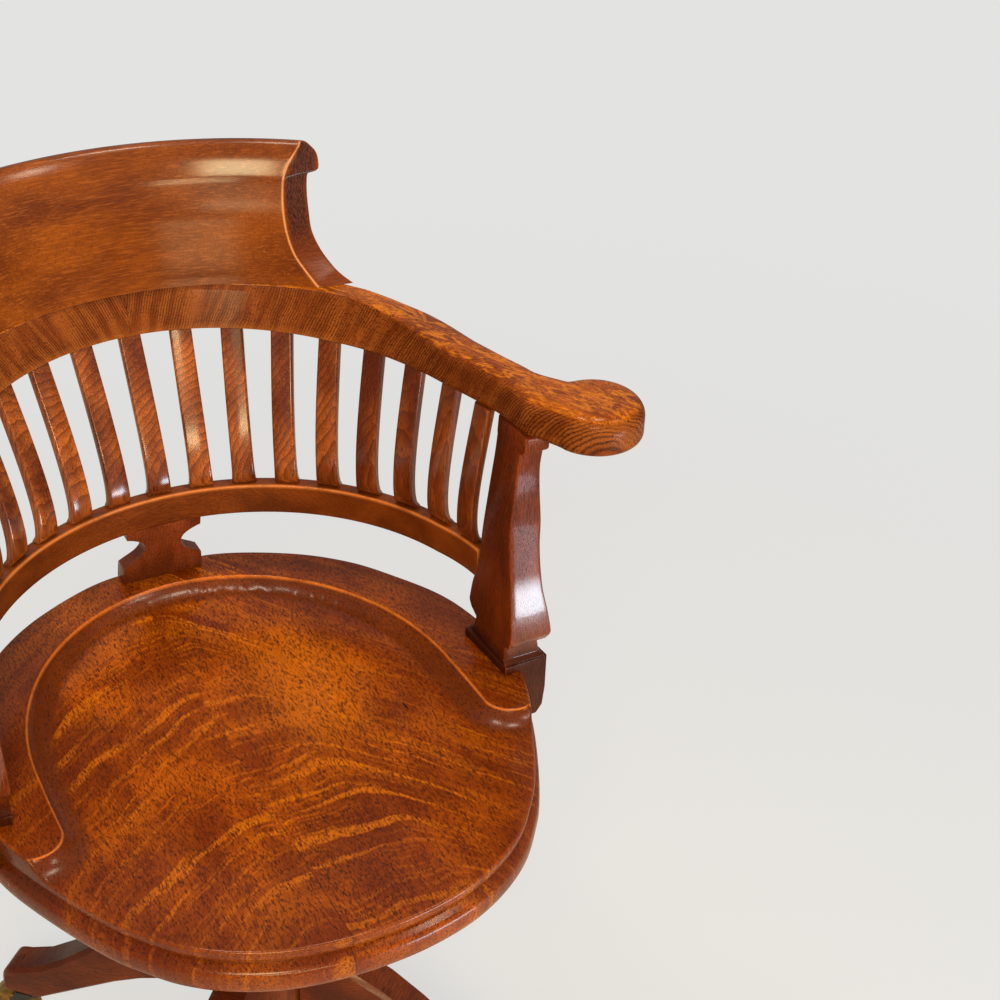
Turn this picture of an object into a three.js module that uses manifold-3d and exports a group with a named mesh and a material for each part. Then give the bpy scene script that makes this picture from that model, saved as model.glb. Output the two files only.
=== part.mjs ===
// Bankers swivel chair in oak, on an iron tilting mechanism and a four-legged base with castors.
// Millimetres, +Z up, the chair faces -Y, at its seat height in the photograph.
import * as THREE from 'three';
import { mergeVertices } from 'three/addons/utils/BufferGeometryUtils.js';
import Module from 'manifold-3d';

const wasm = await Module();
wasm.setup();

// Height of the seat above the floor, and what stands on it
const seatHeight = 470;
const railRise = 66;
const railHeight = 29;
const armRise = 232;
const armThick = 35;
const crestHeight = 117;

// Gaps and cuts
const fit = 0.3;
const slip = 0.5;
const overrun = 6;

// Seat slab
const seatHalfWidth = 243;
const seatBackY = 252;
const seatFrontY = -266;
const seatThick = 54;
const seatUndercut = 20;
const seatSteps = 25;
const dishDepth = 11;
const dishSideLedge = 59;
const dishBackLedge = 40;
const dishCove = 8;
const bowlDepth = 7;
const bowlInset = 20;
const tongueInset = 34;
const tongueY = -66;
const tongueRadius = 24;

// Bow of the two arms, in plan
const bowInset = 26;
const bowOverhang = 16;
const armWidth = 46;
const armFlareY = 90;
const armRound = 5;
const pawOut = 67;
const pawY = -53;
const pawRadius = 41;
const pawRound = 13;

// Crest rail
const crestSetback = 12;
const crestRadius = 260;
const crestSpread = 43;
const crestLean = 49;
const crestLengthShare = 0.742;
const crestThick = 18;

// Lower rail, its centre block and the slats
const railSideInset = 27;
const railBackInset = 39;
const railThick = 16;
const railRound = 3;
const blockHalfWidth = 38;
const blockDepth = 17;
const blockInset = 23;
const slatCount = 17;
const slatWidth = 20;
const slatThick = 9;
const slatFootSet = 10.5;
const slatTopSet = 11;
const slatFootShare = 0.89635;
const slatTopShare = 0.92985;
const slatBulge = 9;

// Arm post, its plinth and the tail over the seat's edge
const postInset = 26.5;
const postDepth = 70;
const postWidth = 43;
const postChamfer = 1.6;
const plinthFrontY = -45.7;
const plinthThick = 8.6;
const plinthTurn = 0.058;
const tailWidth = 17;
const tailBevel = 8;

// Tilting mechanism
const pinY = 15;
const pinDrop = 24;
const pinRadius = 6;
const ironThick = 7;
const ironHalfWidth = 66;
const ironFrontY = -128;
const ironBackY = 132;
const ironFootReach = 66;
const ironFootWidth = 34;
const lugOffset = 55;
const lugThick = 8;
const lugHalfDepth = 14;
const earThick = 8;
const yokeThick = 8;
const yokeDrop = 44;
const yokeMargin = 14;
const rodX = 60;
const rodLever = 110;
const rodRadius = 4.5;
const rodTail = 8;
const rodBossRadius = 10;
const rodBossHeight = 11;
const slotWidth = 12;
const slotDepth = 17;
const stopX = 36;
const stopWidth = 14;
const nutRadius = 17;
const nutHeight = 12;
const springRadius = 12;
const springWire = 3.2;
const springLength = 60;
const springCurls = 7;
const springSteps = 8;
const springSides = 5;

// Screw spindle, its collar and handwheel
const spindleRadius = 12;
const journalRadius = 11;
const journalClear = 2;
const collarRadius = 20;
const collarHeight = 8;
const socketRadius = 21;
const socketDrop = 54;
const grooveDepth = 3;
const grooveHeight = 9;
const grooveDrop = 30;
const setScrewRadius = 3;
const setScrewLength = 15;
const spindleClear = 26;
const keyWidth = 5;
const keyHeight = 22;
const keyInset = 4;
const keyCover = 1;
const wheelRadius = 58;
const wheelHeight = 30;
const wheelRim = 12;
const wheelLobes = 8;
const wheelLobeDepth = 4;
const wheelDrop = 30;

// Turned hub and its iron lining
const hubRadius = 46;
const hubBodyShare = 0.92;
const hubRise = 38;
const hubFloor = 24;
const liningRadius = 17;
const liningClear = 8;
const flangeRadius = 32;
const flangeHeight = 6;

// Legs and castors
const legCount = 4;
const legThick = 36;
const legReach = 276;
const legRootTopShare = 0.804;
const legRootBottomShare = 0.266;
const legFootThick = 34;
const legBevel = 4;
const stemSetback = 22;
const castorWheelRadius = 25;
const castorWheelWidth = 22;
const castorTrail = 22;
const castorClear = 6;
const crownHeight = 6;
const cheekThick = 4;
const cheekWidth = 18;
const cheekGap = 1.2;
const stemRadius = 5;
const stemLength = 34;
const axleRadius = 3.5;
const axleHeadRadius = 6;
const axleHeadThick = 2.5;

// Seat screws
const screwRadius = 3;
const screwHeadRadius = 6.5;
const screwHeadHeight = 3;
const screwLength = 28;
const headCrownShare = 0.65;

// What follows from the sizes above: the seat and what stands on it
const dishHalfWidth = seatHalfWidth - dishSideLedge;
const dishHalfDepth = seatBackY - dishBackLedge;
const bowlHalfWidth = dishHalfWidth - bowlInset;
const bowlHalfDepth = dishHalfDepth - bowlInset;
const tongueX = seatHalfWidth - tongueInset;
const bowHalfWidth = seatHalfWidth - bowInset;
const bowHalfDepth = seatBackY + bowOverhang;
const pawX = bowHalfWidth + pawOut;
const crestCentreY = bowHalfDepth + crestSetback - crestRadius;
const crestHalfWidth = bowHalfWidth + crestSpread;
const crestHalfLength = bowHalfWidth * crestLengthShare;
const railHalfWidth = seatHalfWidth - railSideInset;
const railHalfDepth = seatBackY - railBackInset;
const blockFootY = seatBackY - blockInset;
const postX = seatHalfWidth - postInset;
const railUnderside = seatHeight + railRise;
const railTop = railUnderside + railHeight;
const armUnderside = seatHeight + armRise;
const armTop = armUnderside + armThick;
const crestTop = armTop + crestHeight;
const seatUnderside = seatHeight - seatThick;

// The mechanism, from the seat down to the handwheel
const ironTop = seatUnderside - fit;
const ironUnderside = ironTop - ironThick;
const pinHeight = seatUnderside - pinDrop;
const yokeTop = seatUnderside - yokeDrop + yokeThick;
const yokeUnderside = yokeTop - yokeThick;
const socketUnderside = yokeUnderside - socketDrop;
const collarUnderside = socketUnderside - fit - collarHeight;
const wheelTop = collarUnderside - wheelDrop;
const wheelUnderside = wheelTop - wheelHeight;
const flangeTop = wheelUnderside - fit;
const rodY = pinY - rodLever;
const springBottom = yokeUnderside - springLength;
const rodBottom = springBottom - nutHeight - rodTail;
const pinLength = 2 * ironHalfWidth;
const yokeHalfWidth = rodX + yokeMargin;
const journalLength = socketDrop - journalClear;
const keyDepth = liningRadius - keyCover - spindleRadius + keyInset;

// The hub and the legs, from the castors up
const legFootHeight = 2 * castorWheelRadius + castorClear + crownHeight;
const stemReach = legReach - stemSetback;
const hubBottom = legFootHeight + hubRise;
const hubTop = flangeTop - flangeHeight - fit;
const hubHeight = hubTop - hubBottom;
const boreBottom = hubBottom + hubFloor;
const liningBottom = boreBottom + liningClear;
const spindleBottom = boreBottom + spindleClear;
const legRootTop = hubBottom + hubHeight * legRootTopShare;
const legRootBottom = hubBottom + hubHeight * legRootBottomShare;

// Finishes, as seen
const oak = { color: 0x7c3f16, roughness: 0.34, metalness: 0 };
const oakDark = { color: 0x5a2812, roughness: 0.3, metalness: 0 };
const iron = { color: 0x2a2725, roughness: 0.55, metalness: 0.7 };
const steel = { color: 0x6d6a66, roughness: 0.42, metalness: 0.9 };
const brass = { color: 0x8f6f35, roughness: 0.4, metalness: 0.9 };

const chair = new THREE.Group();
const upDirection = new THREE.Vector3(0, 0, 1);

// A closed manifold solid from a geometry
function solidOf(geometry) {
  const bare = geometry.index ? geometry.clone() : geometry;
  bare.deleteAttribute('normal');
  bare.deleteAttribute('uv');
  const merged = mergeVertices(bare, 1e-4);
  const vertProperties = new Float32Array(merged.attributes.position.array);
  const triVerts = new Uint32Array(merged.index.array);
  return new wasm.Manifold(new wasm.Mesh({ numProp: 3, vertProperties, triVerts }));
}

// A geometry from a manifold solid
function geometryOf(solid) {
  const mesh = solid.getMesh();
  const geometry = new THREE.BufferGeometry();
  geometry.setAttribute('position', new THREE.BufferAttribute(mesh.vertProperties, 3));
  geometry.setIndex(new THREE.BufferAttribute(mesh.triVerts, 1));
  return geometry;
}

function cut(geometry, ...cutters) {
  const solid = cutters.reduce((left, cutter) => left.subtract(solidOf(cutter)), solidOf(geometry));
  return geometryOf(solid);
}

function join(geometry, ...others) {
  const solid = others.reduce((sum, other) => sum.add(solidOf(other)), solidOf(geometry));
  return geometryOf(solid);
}

// Adds a named mesh with its finish to the chair
function place(name, geometry, finish) {
  const shape = geometry.index ? geometry.toNonIndexed() : geometry;
  shape.computeVertexNormals();
  const mesh = new THREE.Mesh(shape, new THREE.MeshStandardMaterial(finish));
  mesh.name = name;
  chair.add(mesh);
  return mesh;
}

// Six times the signed volume under the triangles
function signedVolume(points, triangles) {
  const side = new THREE.Vector3();
  const volumeOf = ([a, b, c]) => points[a].dot(side.crossVectors(points[b], points[c]));
  return triangles.reduce((sum, triangle) => sum + volumeOf(triangle), 0);
}

// A closed skin over rings of equal point counts, with a flat cap at each end
function loft(rings) {
  const count = rings[0].length;
  const points = rings.flat();
  const triangles = [];
  for (let ring = 0; ring < rings.length - 1; ring += 1) {
    for (let step = 0; step < count; step += 1) {
      const low = ring * count + step;
      const lowNext = ring * count + ((step + 1) % count);
      triangles.push([low, lowNext, lowNext + count], [low, lowNext + count, low + count]);
    }
  }
  const last = (rings.length - 1) * count;
  capOf(rings[0]).forEach(([a, b, c]) => triangles.push([c, b, a]));
  capOf(rings[rings.length - 1]).forEach(([a, b, c]) => triangles.push([last + a, last + b, last + c]));
  const outward = signedVolume(points, triangles) > 0;
  const index = triangles.flatMap(([a, b, c]) => (outward ? [a, b, c] : [a, c, b]));
  const geometry = new THREE.BufferGeometry().setFromPoints(points);
  geometry.setIndex(index);
  return geometry;
}

// Triangles over one flat ring, turning the same way as the ring
function capOf(ring) {
  const normal = new THREE.Vector3();
  const origin = ring[0];
  const towards = (point) => point.clone().sub(origin);
  for (let step = 1; step < ring.length - 1; step += 1) {
    normal.add(new THREE.Vector3().crossVectors(towards(ring[step]), towards(ring[step + 1])));
  }
  normal.normalize();
  const across = towards(ring[1]).normalize();
  const up = new THREE.Vector3().crossVectors(normal, across);
  const flat = ring.map((point) => new THREE.Vector2(towards(point).dot(across), towards(point).dot(up)));
  return THREE.ShapeUtils.triangulateShape(flat, []);
}

// The value at a share of the way along rows of [share, value]
function valueAt(rows, share) {
  const after = rows.findIndex(([at]) => at >= share);
  if (after === 0) return rows[0][1];
  if (after < 0) return rows[rows.length - 1][1];
  const [lowAt, low] = rows[after - 1];
  const [highAt, high] = rows[after];
  return THREE.MathUtils.mapLinear(share, lowAt, highAt, low, high);
}

// A vertical cylinder standing on a height
function rod(radius, height, x, y, bottom, sides = 24) {
  const shape = new THREE.CylinderGeometry(radius, radius, height, sides);
  shape.rotateX(Math.PI / 2);
  shape.translate(x, y, bottom + height / 2);
  return shape;
}

// A cylinder along X, centred on a point
function crossRod(radius, length, x, y, z, sides = 24) {
  const shape = new THREE.CylinderGeometry(radius, radius, length, sides);
  shape.rotateZ(Math.PI / 2);
  shape.translate(x, y, z);
  return shape;
}

// A box between two corners
function block(x0, x1, y0, y1, z0, z1) {
  const shape = new THREE.BoxGeometry(x1 - x0, y1 - y0, z1 - z0);
  shape.translate((x0 + x1) / 2, (y0 + y1) / 2, (z0 + z1) / 2);
  return shape;
}

// A turned shape about the vertical axis, from points of [radius, height]
function turned(rows, steps = 40) {
  const shape = new THREE.LatheGeometry(rows.map(([r, z]) => new THREE.Vector2(r, z)), steps);
  shape.rotateX(Math.PI / 2);
  return shape;
}

// A flat plate from an outline in plan
function plate(outline, bottom, thick) {
  const shape = new THREE.Shape(outline);
  const solid = new THREE.ExtrudeGeometry(shape, { depth: thick, bevelEnabled: false, curveSegments: 8 });
  solid.translate(0, 0, bottom);
  return solid;
}

function mirrored(geometry) {
  const copy = geometry.clone();
  copy.scale(-1, 1, 1);
  const index = copy.index.array;
  for (let at = 0; at < index.length; at += 3) {
    [index[at], index[at + 1]] = [index[at + 1], index[at]];
  }
  return copy;
}

// Half of the seat's outline from back to front, as shares of its half width, back and front depth
const seatSideShares = [
  [0, 1], [0.246, 0.985], [0.516, 0.865], [0.705, 0.715], [0.835, 0.54], [0.93, 0.376], [0.978, 0.218],
  [1, 0.03], [0.992, -0.11], [0.962, -0.232], [0.912, -0.352], [0.832, -0.507], [0.757, -0.632],
  [0.7, -0.706], [0.602, -0.81], [0.48, -0.893], [0.33, -0.956], [0.165, -0.99], [0, -1],
];

// A ring of the seat at a height, set in from the widest outline
function seatRing(inset, z) {
  const corners = seatSideShares.map(([wide, deep]) => {
    const y = deep > 0 ? deep * (seatBackY - inset) : -deep * (seatFrontY + inset);
    return new THREE.Vector2(wide * (seatHalfWidth - inset), y);
  });
  const side = new THREE.SplineCurve(corners).getPoints(seatSteps);
  side[0].x = 0;
  side[seatSteps].x = 0;
  const otherSide = side.slice(1, -1).reverse().map(({ x, y }) => new THREE.Vector2(-x, y));
  return [...side, ...otherSide].map(({ x, y }) => new THREE.Vector3(x, y, z));
}

// Shares of the seat's thickness and undercut up its moulded edge
const seatEdgeShares = [
  [0, 0.75], [0.05, 0.36], [0.12, 0.1], [0.24, 0], [0.4, 0.02], [0.49, 0.2], [0.54, 0.5],
  [0.6, 0.34], [0.68, 0.27], [0.9, 0.25], [0.97, 0.28], [1, 0.38],
];

function seatSlab(grow) {
  const ringAt = ([height, inset]) => {
    return seatRing(inset * seatUndercut - grow, seatUnderside + height * seatThick);
  };
  return loft(seatEdgeShares.map(ringAt));
}

// The scooped-out part: round behind, and open to the front past the two tongues
function dishCutter() {
  const side = seatHalfWidth + overrun;
  const front = seatFrontY - overrun;
  const shape = new THREE.Shape();
  shape.absellipse(0, 0, dishHalfWidth, dishHalfDepth, 0, Math.PI, false);
  shape.lineTo(tongueRadius - tongueX, tongueY);
  shape.absarc(-tongueX, tongueY, tongueRadius, 0, -Math.PI, true);
  shape.lineTo(-side, tongueY + tongueRadius / 2);
  shape.lineTo(-side, front);
  shape.lineTo(side, front);
  shape.lineTo(side, tongueY + tongueRadius / 2);
  shape.lineTo(tongueX + tongueRadius, tongueY);
  shape.absarc(tongueX, tongueY, tongueRadius, 0, -Math.PI, true);
  const solid = new THREE.ExtrudeGeometry(shape, {
    depth: dishDepth + overrun,
    bevelThickness: dishCove,
    bevelSize: dishCove,
    bevelOffset: -dishCove,
    bevelSegments: 3,
    curveSegments: 12,
  });
  solid.translate(0, 0, seatHeight - dishDepth + dishCove);
  return solid;
}

// A shallow round hollow in the floor of the dish
function bowlCutter() {
  const depthShares = [[0, 1], [0.3, 0.91], [0.55, 0.7], [0.8, 0.36], [1, 0]];
  const rows = depthShares.map(([reach, depth]) => [reach, -depth * bowlDepth]);
  rows.push([1, overrun], [0, overrun]);
  const solid = turned(rows, 32);
  solid.scale(bowlHalfWidth, bowlHalfDepth, 1);
  solid.translate(0, 0, seatHeight - dishDepth);
  return solid;
}

function ironFeet() {
  const x = ironHalfWidth + ironFootReach - ironFootWidth / 2;
  const frontY = ironFrontY + ironFootWidth / 2;
  const backY = ironBackY - ironFootWidth / 2;
  return [[-x, frontY], [x, frontY], [-x, backY], [x, backY]];
}

function makeSeat() {
  const holeDepth = screwLength - ironThick + slip;
  const holeRadius = screwRadius + fit;
  const holeAt = ([x, y]) => rod(holeRadius, holeDepth + overrun, x, y, seatUnderside - overrun, 10);
  const holes = ironFeet().map(holeAt);
  place('seat', cut(seatSlab(0), dishCutter(), bowlCutter(), ...holes), oak);
}

// Points and outward normals along the bow's inner edge, from the back centre to the front
function bowPath() {
  const arcSteps = 16;
  const lastAngle = Math.asin(armFlareY / bowHalfDepth);
  const path = [];
  for (let step = 0; step <= arcSteps; step += 1) {
    const angle = THREE.MathUtils.lerp(Math.PI / 2, lastAngle, step / arcSteps);
    path.push(new THREE.Vector2(bowHalfWidth * Math.cos(angle), bowHalfDepth * Math.sin(angle)));
  }
  const straightShares = [[0.8, 0.964], [0.555, 0.993], [0.333, 1.019], [0.133, 1.04], [-0.055, 1.05],
    [-0.222, 1.055], [-0.389, 1.062]];
  straightShares.forEach(([depth, width]) => {
    path.push(new THREE.Vector2(width * bowHalfWidth, depth * armFlareY));
  });
  return path;
}

function lengthsOf(path) {
  const lengths = [0];
  for (let step = 1; step < path.length; step += 1) {
    lengths.push(lengths[step - 1] + path[step].distanceTo(path[step - 1]));
  }
  return lengths;
}

// Unit normals of an open path, on its outer side
function normalsOf(path) {
  return path.map((point, at) => {
    const before = path[Math.max(at - 1, 0)];
    const after = path[Math.min(at + 1, path.length - 1)];
    const run = after.clone().sub(before).normalize();
    return new THREE.Vector2(-run.y, run.x);
  });
}

// Shares of the arm's width, lean and edge rounding along the bow
const armWidthShares = [[0, 1], [0.3, 1], [0.5, 0.97], [0.62, 0.92], [0.72, 0.82], [0.84, 0.82],
  [0.9, 0.86], [0.94, 1]];
const armLeanShares = [[0, 0.43], [0.2, 0.5], [0.44, 0.69], [0.52, 0.5], [0.62, 0.2], [0.72, 0]];
const armRoundShares = [[0, 0.2], [0.46, 0.2], [0.52, 0.8], [0.8, 1], [0.95, 1.6], [1, 2.4]];

// The outline of the right arm as points with their own rounding and lean
function armOutline() {
  const inner = bowPath();
  const lengths = lengthsOf(inner);
  const whole = lengths[lengths.length - 1];
  const normals = normalsOf(inner);
  normals[0].set(0, 1);
  const pawOverlap = 2;
  const shares = lengths.map((length) => length / whole);
  const innerSide = inner.map((point, at) => ({
    point,
    round: valueAt(armRoundShares, shares[at]) * armRound,
    lean: normals[at].clone().multiplyScalar(valueAt(armLeanShares, shares[at]) * armThick),
  }));
  const outerSide = inner.slice(0, inner.length - pawOverlap).map((point, at) => ({
    point: point.clone().addScaledVector(normals[at], valueAt(armWidthShares, shares[at]) * armWidth),
    round: valueAt(armRoundShares, shares[at]) * armRound,
    lean: new THREE.Vector2(0, 0),
  }));
  return [...innerSide, ...pawRim(), ...outerSide.reverse()];
}

// Points round the paw, from its inner side by the front to the notch behind it
function pawRim() {
  const steps = 15;
  const firstAngle = Math.PI * 1.02;
  const lastAngle = Math.PI * 2.36;
  const lean = new THREE.Vector2(0, 0);
  const rim = [];
  for (let step = 0; step <= steps; step += 1) {
    const angle = THREE.MathUtils.lerp(firstAngle, lastAngle, step / steps);
    const point = new THREE.Vector2(pawX + pawRadius * Math.cos(angle), pawY + pawRadius * Math.sin(angle));
    rim.push({ point, round: pawRound, lean });
  }
  rim.push({ point: new THREE.Vector2(pawX, pawY + pawRadius), round: pawRound, lean });
  return rim;
}

// The arm: its outline stacked in height, rounded along the edges and cut flat at the centre
function armSolid() {
  const outline = armOutline();
  const last = outline.length - 1;
  const inward = outline.map((corner, at) => {
    const before = outline[(at + last) % outline.length].point;
    const after = outline[(at + 1) % outline.length].point;
    const run = after.clone().sub(before).normalize();
    return new THREE.Vector2(-run.y, run.x);
  });
  inward[0].set(0, 1);
  inward[last].set(0, -1);
  const underShare = 0.5;
  const edgeShares = [
    { inset: 1, drop: 0, from: 'under' }, { inset: 0.3, drop: 0.3, from: 'under' },
    { inset: 0, drop: 1, from: 'under' }, { inset: 0, drop: 1, from: 'top' },
    { inset: 0.1, drop: 0.55, from: 'top' }, { inset: 0.4, drop: 0.15, from: 'top' },
    { inset: 1, drop: 0, from: 'top' },
  ];
  const rings = edgeShares.map(({ inset, drop, from }) => outline.map(({ point, round, lean }, at) => {
    const radius = from === 'top' ? round : round * underShare;
    const z = from === 'top' ? armTop - drop * radius : armUnderside + drop * radius;
    const height = (z - armUnderside) / armThick;
    const spot = point.clone().addScaledVector(inward[at], inset * radius).addScaledVector(lean, height);
    return new THREE.Vector3(spot.x + fit / 2, spot.y, z);
  }));
  return loft(rings);
}

function makeArms() {
  const solid = geometryOf(solidOf(armSolid()));
  place('arm_right', solid, oak);
  place('arm_left', mirrored(solid), oak);
}

// Rows up the crest: height, lean back, half length in front, half length behind, thickness
const crestShares = [
  [0, 0, 1, 1.205, 1.06], [0.05, 0.04, 0.978, 1.16, 1.03], [0.11, 0.082, 0.953, 1.124, 1],
  [0.22, 0.163, 0.913, 1.08, 0.97], [0.35, 0.265, 0.894, 1.053, 0.97], [0.485, 0.367, 0.89, 1.053, 0.97],
  [0.61, 0.49, 0.9, 1.062, 1], [0.71, 0.582, 0.913, 1.075, 1.03], [0.75, 0.612, 0.92, 1.084, 1.06],
  [0.775, 0.633, 0.925, 1.142, 1.25], [0.84, 0.704, 0.95, 1.155, 1.33], [0.9, 0.776, 0.981, 1.146, 1.17],
  [0.95, 0.857, 1.012, 1.118, 0.85], [0.983, 0.925, 1.034, 1.093, 0.52], [1, 0.98, 1.043, 1.07, 0.24],
];

function crestRing([height, lean, frontLength, backLength, thick]) {
  const steps = 13;
  const z = THREE.MathUtils.lerp(armTop + fit, crestTop, height);
  const face = lean * crestLean;
  const back = face + thick * crestThick;
  const arc = (out, halfLength, step) => {
    const lastAngle = Math.asin(halfLength / (crestHalfWidth + out));
    const angle = THREE.MathUtils.lerp(-lastAngle, lastAngle, step / steps);
    const x = (crestHalfWidth + out) * Math.sin(angle);
    return new THREE.Vector3(x, crestCentreY + (crestRadius + out) * Math.cos(angle), z);
  };
  const front = [];
  const rear = [];
  for (let step = 0; step <= steps; step += 1) {
    front.push(arc(face, frontLength * crestHalfLength, step));
    rear.push(arc(back, backLength * crestHalfLength, steps - step));
  }
  return [...front, ...rear];
}

function makeCrest() {
  place('crest_rail', loft(crestShares.map(crestRing)), oak);
}

// A rectangle's corners, each cut by a chamfer
function chamfered(x0, x1, y0, y1, chamfer) {
  return [
    [x0 + chamfer, y0], [x1 - chamfer, y0], [x1, y0 + chamfer], [x1, y1 - chamfer],
    [x1 - chamfer, y1], [x0 + chamfer, y1], [x0, y1 - chamfer], [x0, y0 + chamfer],
  ];
}

// Rows up the post: height, inner face, front face, back face, outer face, as shares
const postShares = [
  [0.037, 0, 0.02, 0.97, 0.95], [0.06, 0, 0.07, 0.88, 0.83], [0.12, 0, 0.055, 0.83, 0.76],
  [0.142, 0, -0.05, 0.97, 0.87], [0.165, 0, -0.085, 1.02, 0.93], [0.19, 0, -0.088, 1.01, 0.93],
  [0.26, 0.01, -0.062, 0.965, 0.87], [0.375, 0.03, 0.006, 0.85, 0.765], [0.52, 0.06, 0.1, 0.817, 0.75],
  [0.63, 0.1, 0.166, 0.79, 0.8], [0.75, 0.165, 0.186, 0.775, 0.76], [0.85, 0.235, 0.215, 0.775, 0.76],
  [0.925, 0.28, 0.208, 0.782, 0.795], [0.937, 0.29, 0.13, 0.8, 0.85], [1, 0.31, 0.12, 0.8, 0.85],
];

// The right post, grown by a gap when it is used as a cutter
function postLoft(grow) {
  const tall = armUnderside - fit - seatHeight;
  const rings = postShares.map(([height, inner, front, back, outer]) => {
    const z = seatHeight + height * tall;
    const x0 = postX + inner * postWidth - grow;
    const x1 = postX + outer * postWidth + grow;
    const y0 = plinthFrontY + front * postDepth - grow;
    const y1 = plinthFrontY + back * postDepth + grow;
    return chamfered(x0, x1, y0, y1, postChamfer).map(([x, y]) => new THREE.Vector3(x, y, z));
  });
  return loft(rings);
}

// The plinth and its tail, turned a little about the front inner corner
function plinthBlock() {
  const bottom = seatHeight + fit;
  const top = seatHeight + plinthThick;
  const base = block(0, postWidth, 0, postDepth, bottom, top);
  const tailX = postWidth - tailWidth - overrun;
  const low = seatUnderside;
  const corners = [
    [tailX, bottom + fit], [tailX, low], [postWidth - tailBevel, low],
    [postWidth - tailBevel / 4, low + tailBevel], [postWidth, low + seatThick / 2],
    [postWidth - fit, bottom + fit],
  ];
  const profile = new THREE.Shape(corners.map(([x, y]) => new THREE.Vector2(x, y)));
  const tail = new THREE.ExtrudeGeometry(profile, { depth: postDepth, bevelEnabled: false });
  tail.rotateX(Math.PI / 2);
  tail.translate(0, postDepth, 0);
  const solid = join(base, tail);
  solid.rotateZ(plinthTurn);
  solid.translate(postX, plinthFrontY, 0);
  return solid;
}

function makePosts() {
  const solid = cut(join(postLoft(0), plinthBlock()), seatSlab(fit));
  place('post_right', solid, oakDark);
  place('post_left', mirrored(solid), oakDark);
}

// A rail bent to the lower ellipse, ended against the posts
function makeLowerRail() {
  const steps = 32;
  const section = [
    [0, 0], [railThick, 0], [railThick, railHeight - railRound], [railThick - railRound, railHeight],
    [railRound, railHeight], [0, railHeight - railRound],
  ];
  const rings = [];
  for (let step = 0; step <= steps; step += 1) {
    const angle = THREE.MathUtils.lerp(0, Math.PI, step / steps);
    const ring = section.map(([out, up]) => {
      const x = (railHalfWidth + out) * Math.cos(angle);
      const y = (railHalfDepth + out) * Math.sin(angle);
      return new THREE.Vector3(x, y, railUnderside + up);
    });
    rings.push(ring);
  }
  const grown = geometryOf(solidOf(postLoft(fit)));
  place('lower_rail', cut(loft(rings), grown, mirrored(grown)), oak);
}

// Rows up the centre block: height, half width and lean forward, as shares
const blockShares = [
  [0, 1, 0], [0.28, 0.98, 0.26], [0.34, 0.9, 0.33], [0.42, 0.66, 0.42], [0.53, 0.5, 0.54], [0.63, 0.44, 0.64],
  [0.73, 0.52, 0.74], [0.81, 0.73, 0.82], [0.85, 0.9, 0.86], [1, 0.92, 1],
];

function makeCentreBlock() {
  const bottom = seatHeight + fit;
  const top = railUnderside - fit;
  const lean = blockFootY - railHalfDepth;
  const rings = blockShares.map(([height, width, forward]) => {
    const z = THREE.MathUtils.lerp(bottom, top, height);
    const half = width * blockHalfWidth;
    const y0 = blockFootY - forward * lean;
    const y1 = y0 + blockDepth;
    return [[-half, y0], [half, y0], [half, y1], [-half, y1]].map(([x, y]) => new THREE.Vector3(x, y, z));
  });
  place('centre_block', loft(rings), oakDark);
}

// The point and outward direction at a share of a quarter of an ellipse, from its back centre
function onEllipse(halfWidth, halfDepth, share) {
  const fineSteps = 800;
  const side = Math.sign(share) || 1;
  const quarter = [];
  for (let step = 0; step <= fineSteps; step += 1) {
    const turn = (1 - step / fineSteps) * (Math.PI / 2);
    quarter.push(new THREE.Vector2(halfWidth * Math.cos(turn), halfDepth * Math.sin(turn)));
  }
  const lengths = lengthsOf(quarter);
  const wanted = Math.abs(share) * lengths[fineSteps];
  const found = lengths.findIndex((length) => length >= wanted);
  const angle = (1 - found / fineSteps) * (Math.PI / 2);
  const point = new THREE.Vector2(side * halfWidth * Math.cos(angle), halfDepth * Math.sin(angle));
  const normal = new THREE.Vector2(side * Math.cos(angle) / halfWidth, Math.sin(angle) / halfDepth);
  return { point, normal: normal.normalize() };
}

// One slat at a place from -1 to 1, leaning from the rail to the bow, with a swell towards the sitter
function slatSolid(place) {
  const foot = onEllipse(railHalfWidth + slatFootSet, railHalfDepth + slatFootSet, place * slatFootShare);
  const head = onEllipse(bowHalfWidth + slatTopSet, bowHalfDepth + slatTopSet, place * slatTopShare);
  const steps = 9;
  const half = slatWidth / 2;
  const deep = slatThick / 2;
  const corners = chamfered(-half, half, -deep, deep, slatThick / 5);
  const rings = [];
  for (let step = 0; step <= steps; step += 1) {
    const share = step / steps;
    const swell = Math.sin(Math.PI * share ** 0.55) * slatBulge;
    const centre = foot.point.clone().lerp(head.point, share);
    const normal = foot.normal.clone().lerp(head.normal, share).normalize();
    const along = new THREE.Vector2(-normal.y, normal.x);
    centre.addScaledVector(normal, -swell);
    const z = THREE.MathUtils.lerp(railTop + fit, armUnderside - fit, share);
    rings.push(corners.map(([wide, out]) => {
      const spot = centre.clone().addScaledVector(along, wide).addScaledVector(normal, out);
      return new THREE.Vector3(spot.x, spot.y, z);
    }));
  }
  return loft(rings);
}

function makeSlats() {
  const middle = (slatCount - 1) / 2;
  for (let slat = 0; slat < slatCount; slat += 1) {
    const name = `slat_${String(slat + 1).padStart(2, '0')}`;
    place(name, slatSolid((slat - middle) / middle), oak);
  }
}

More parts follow.
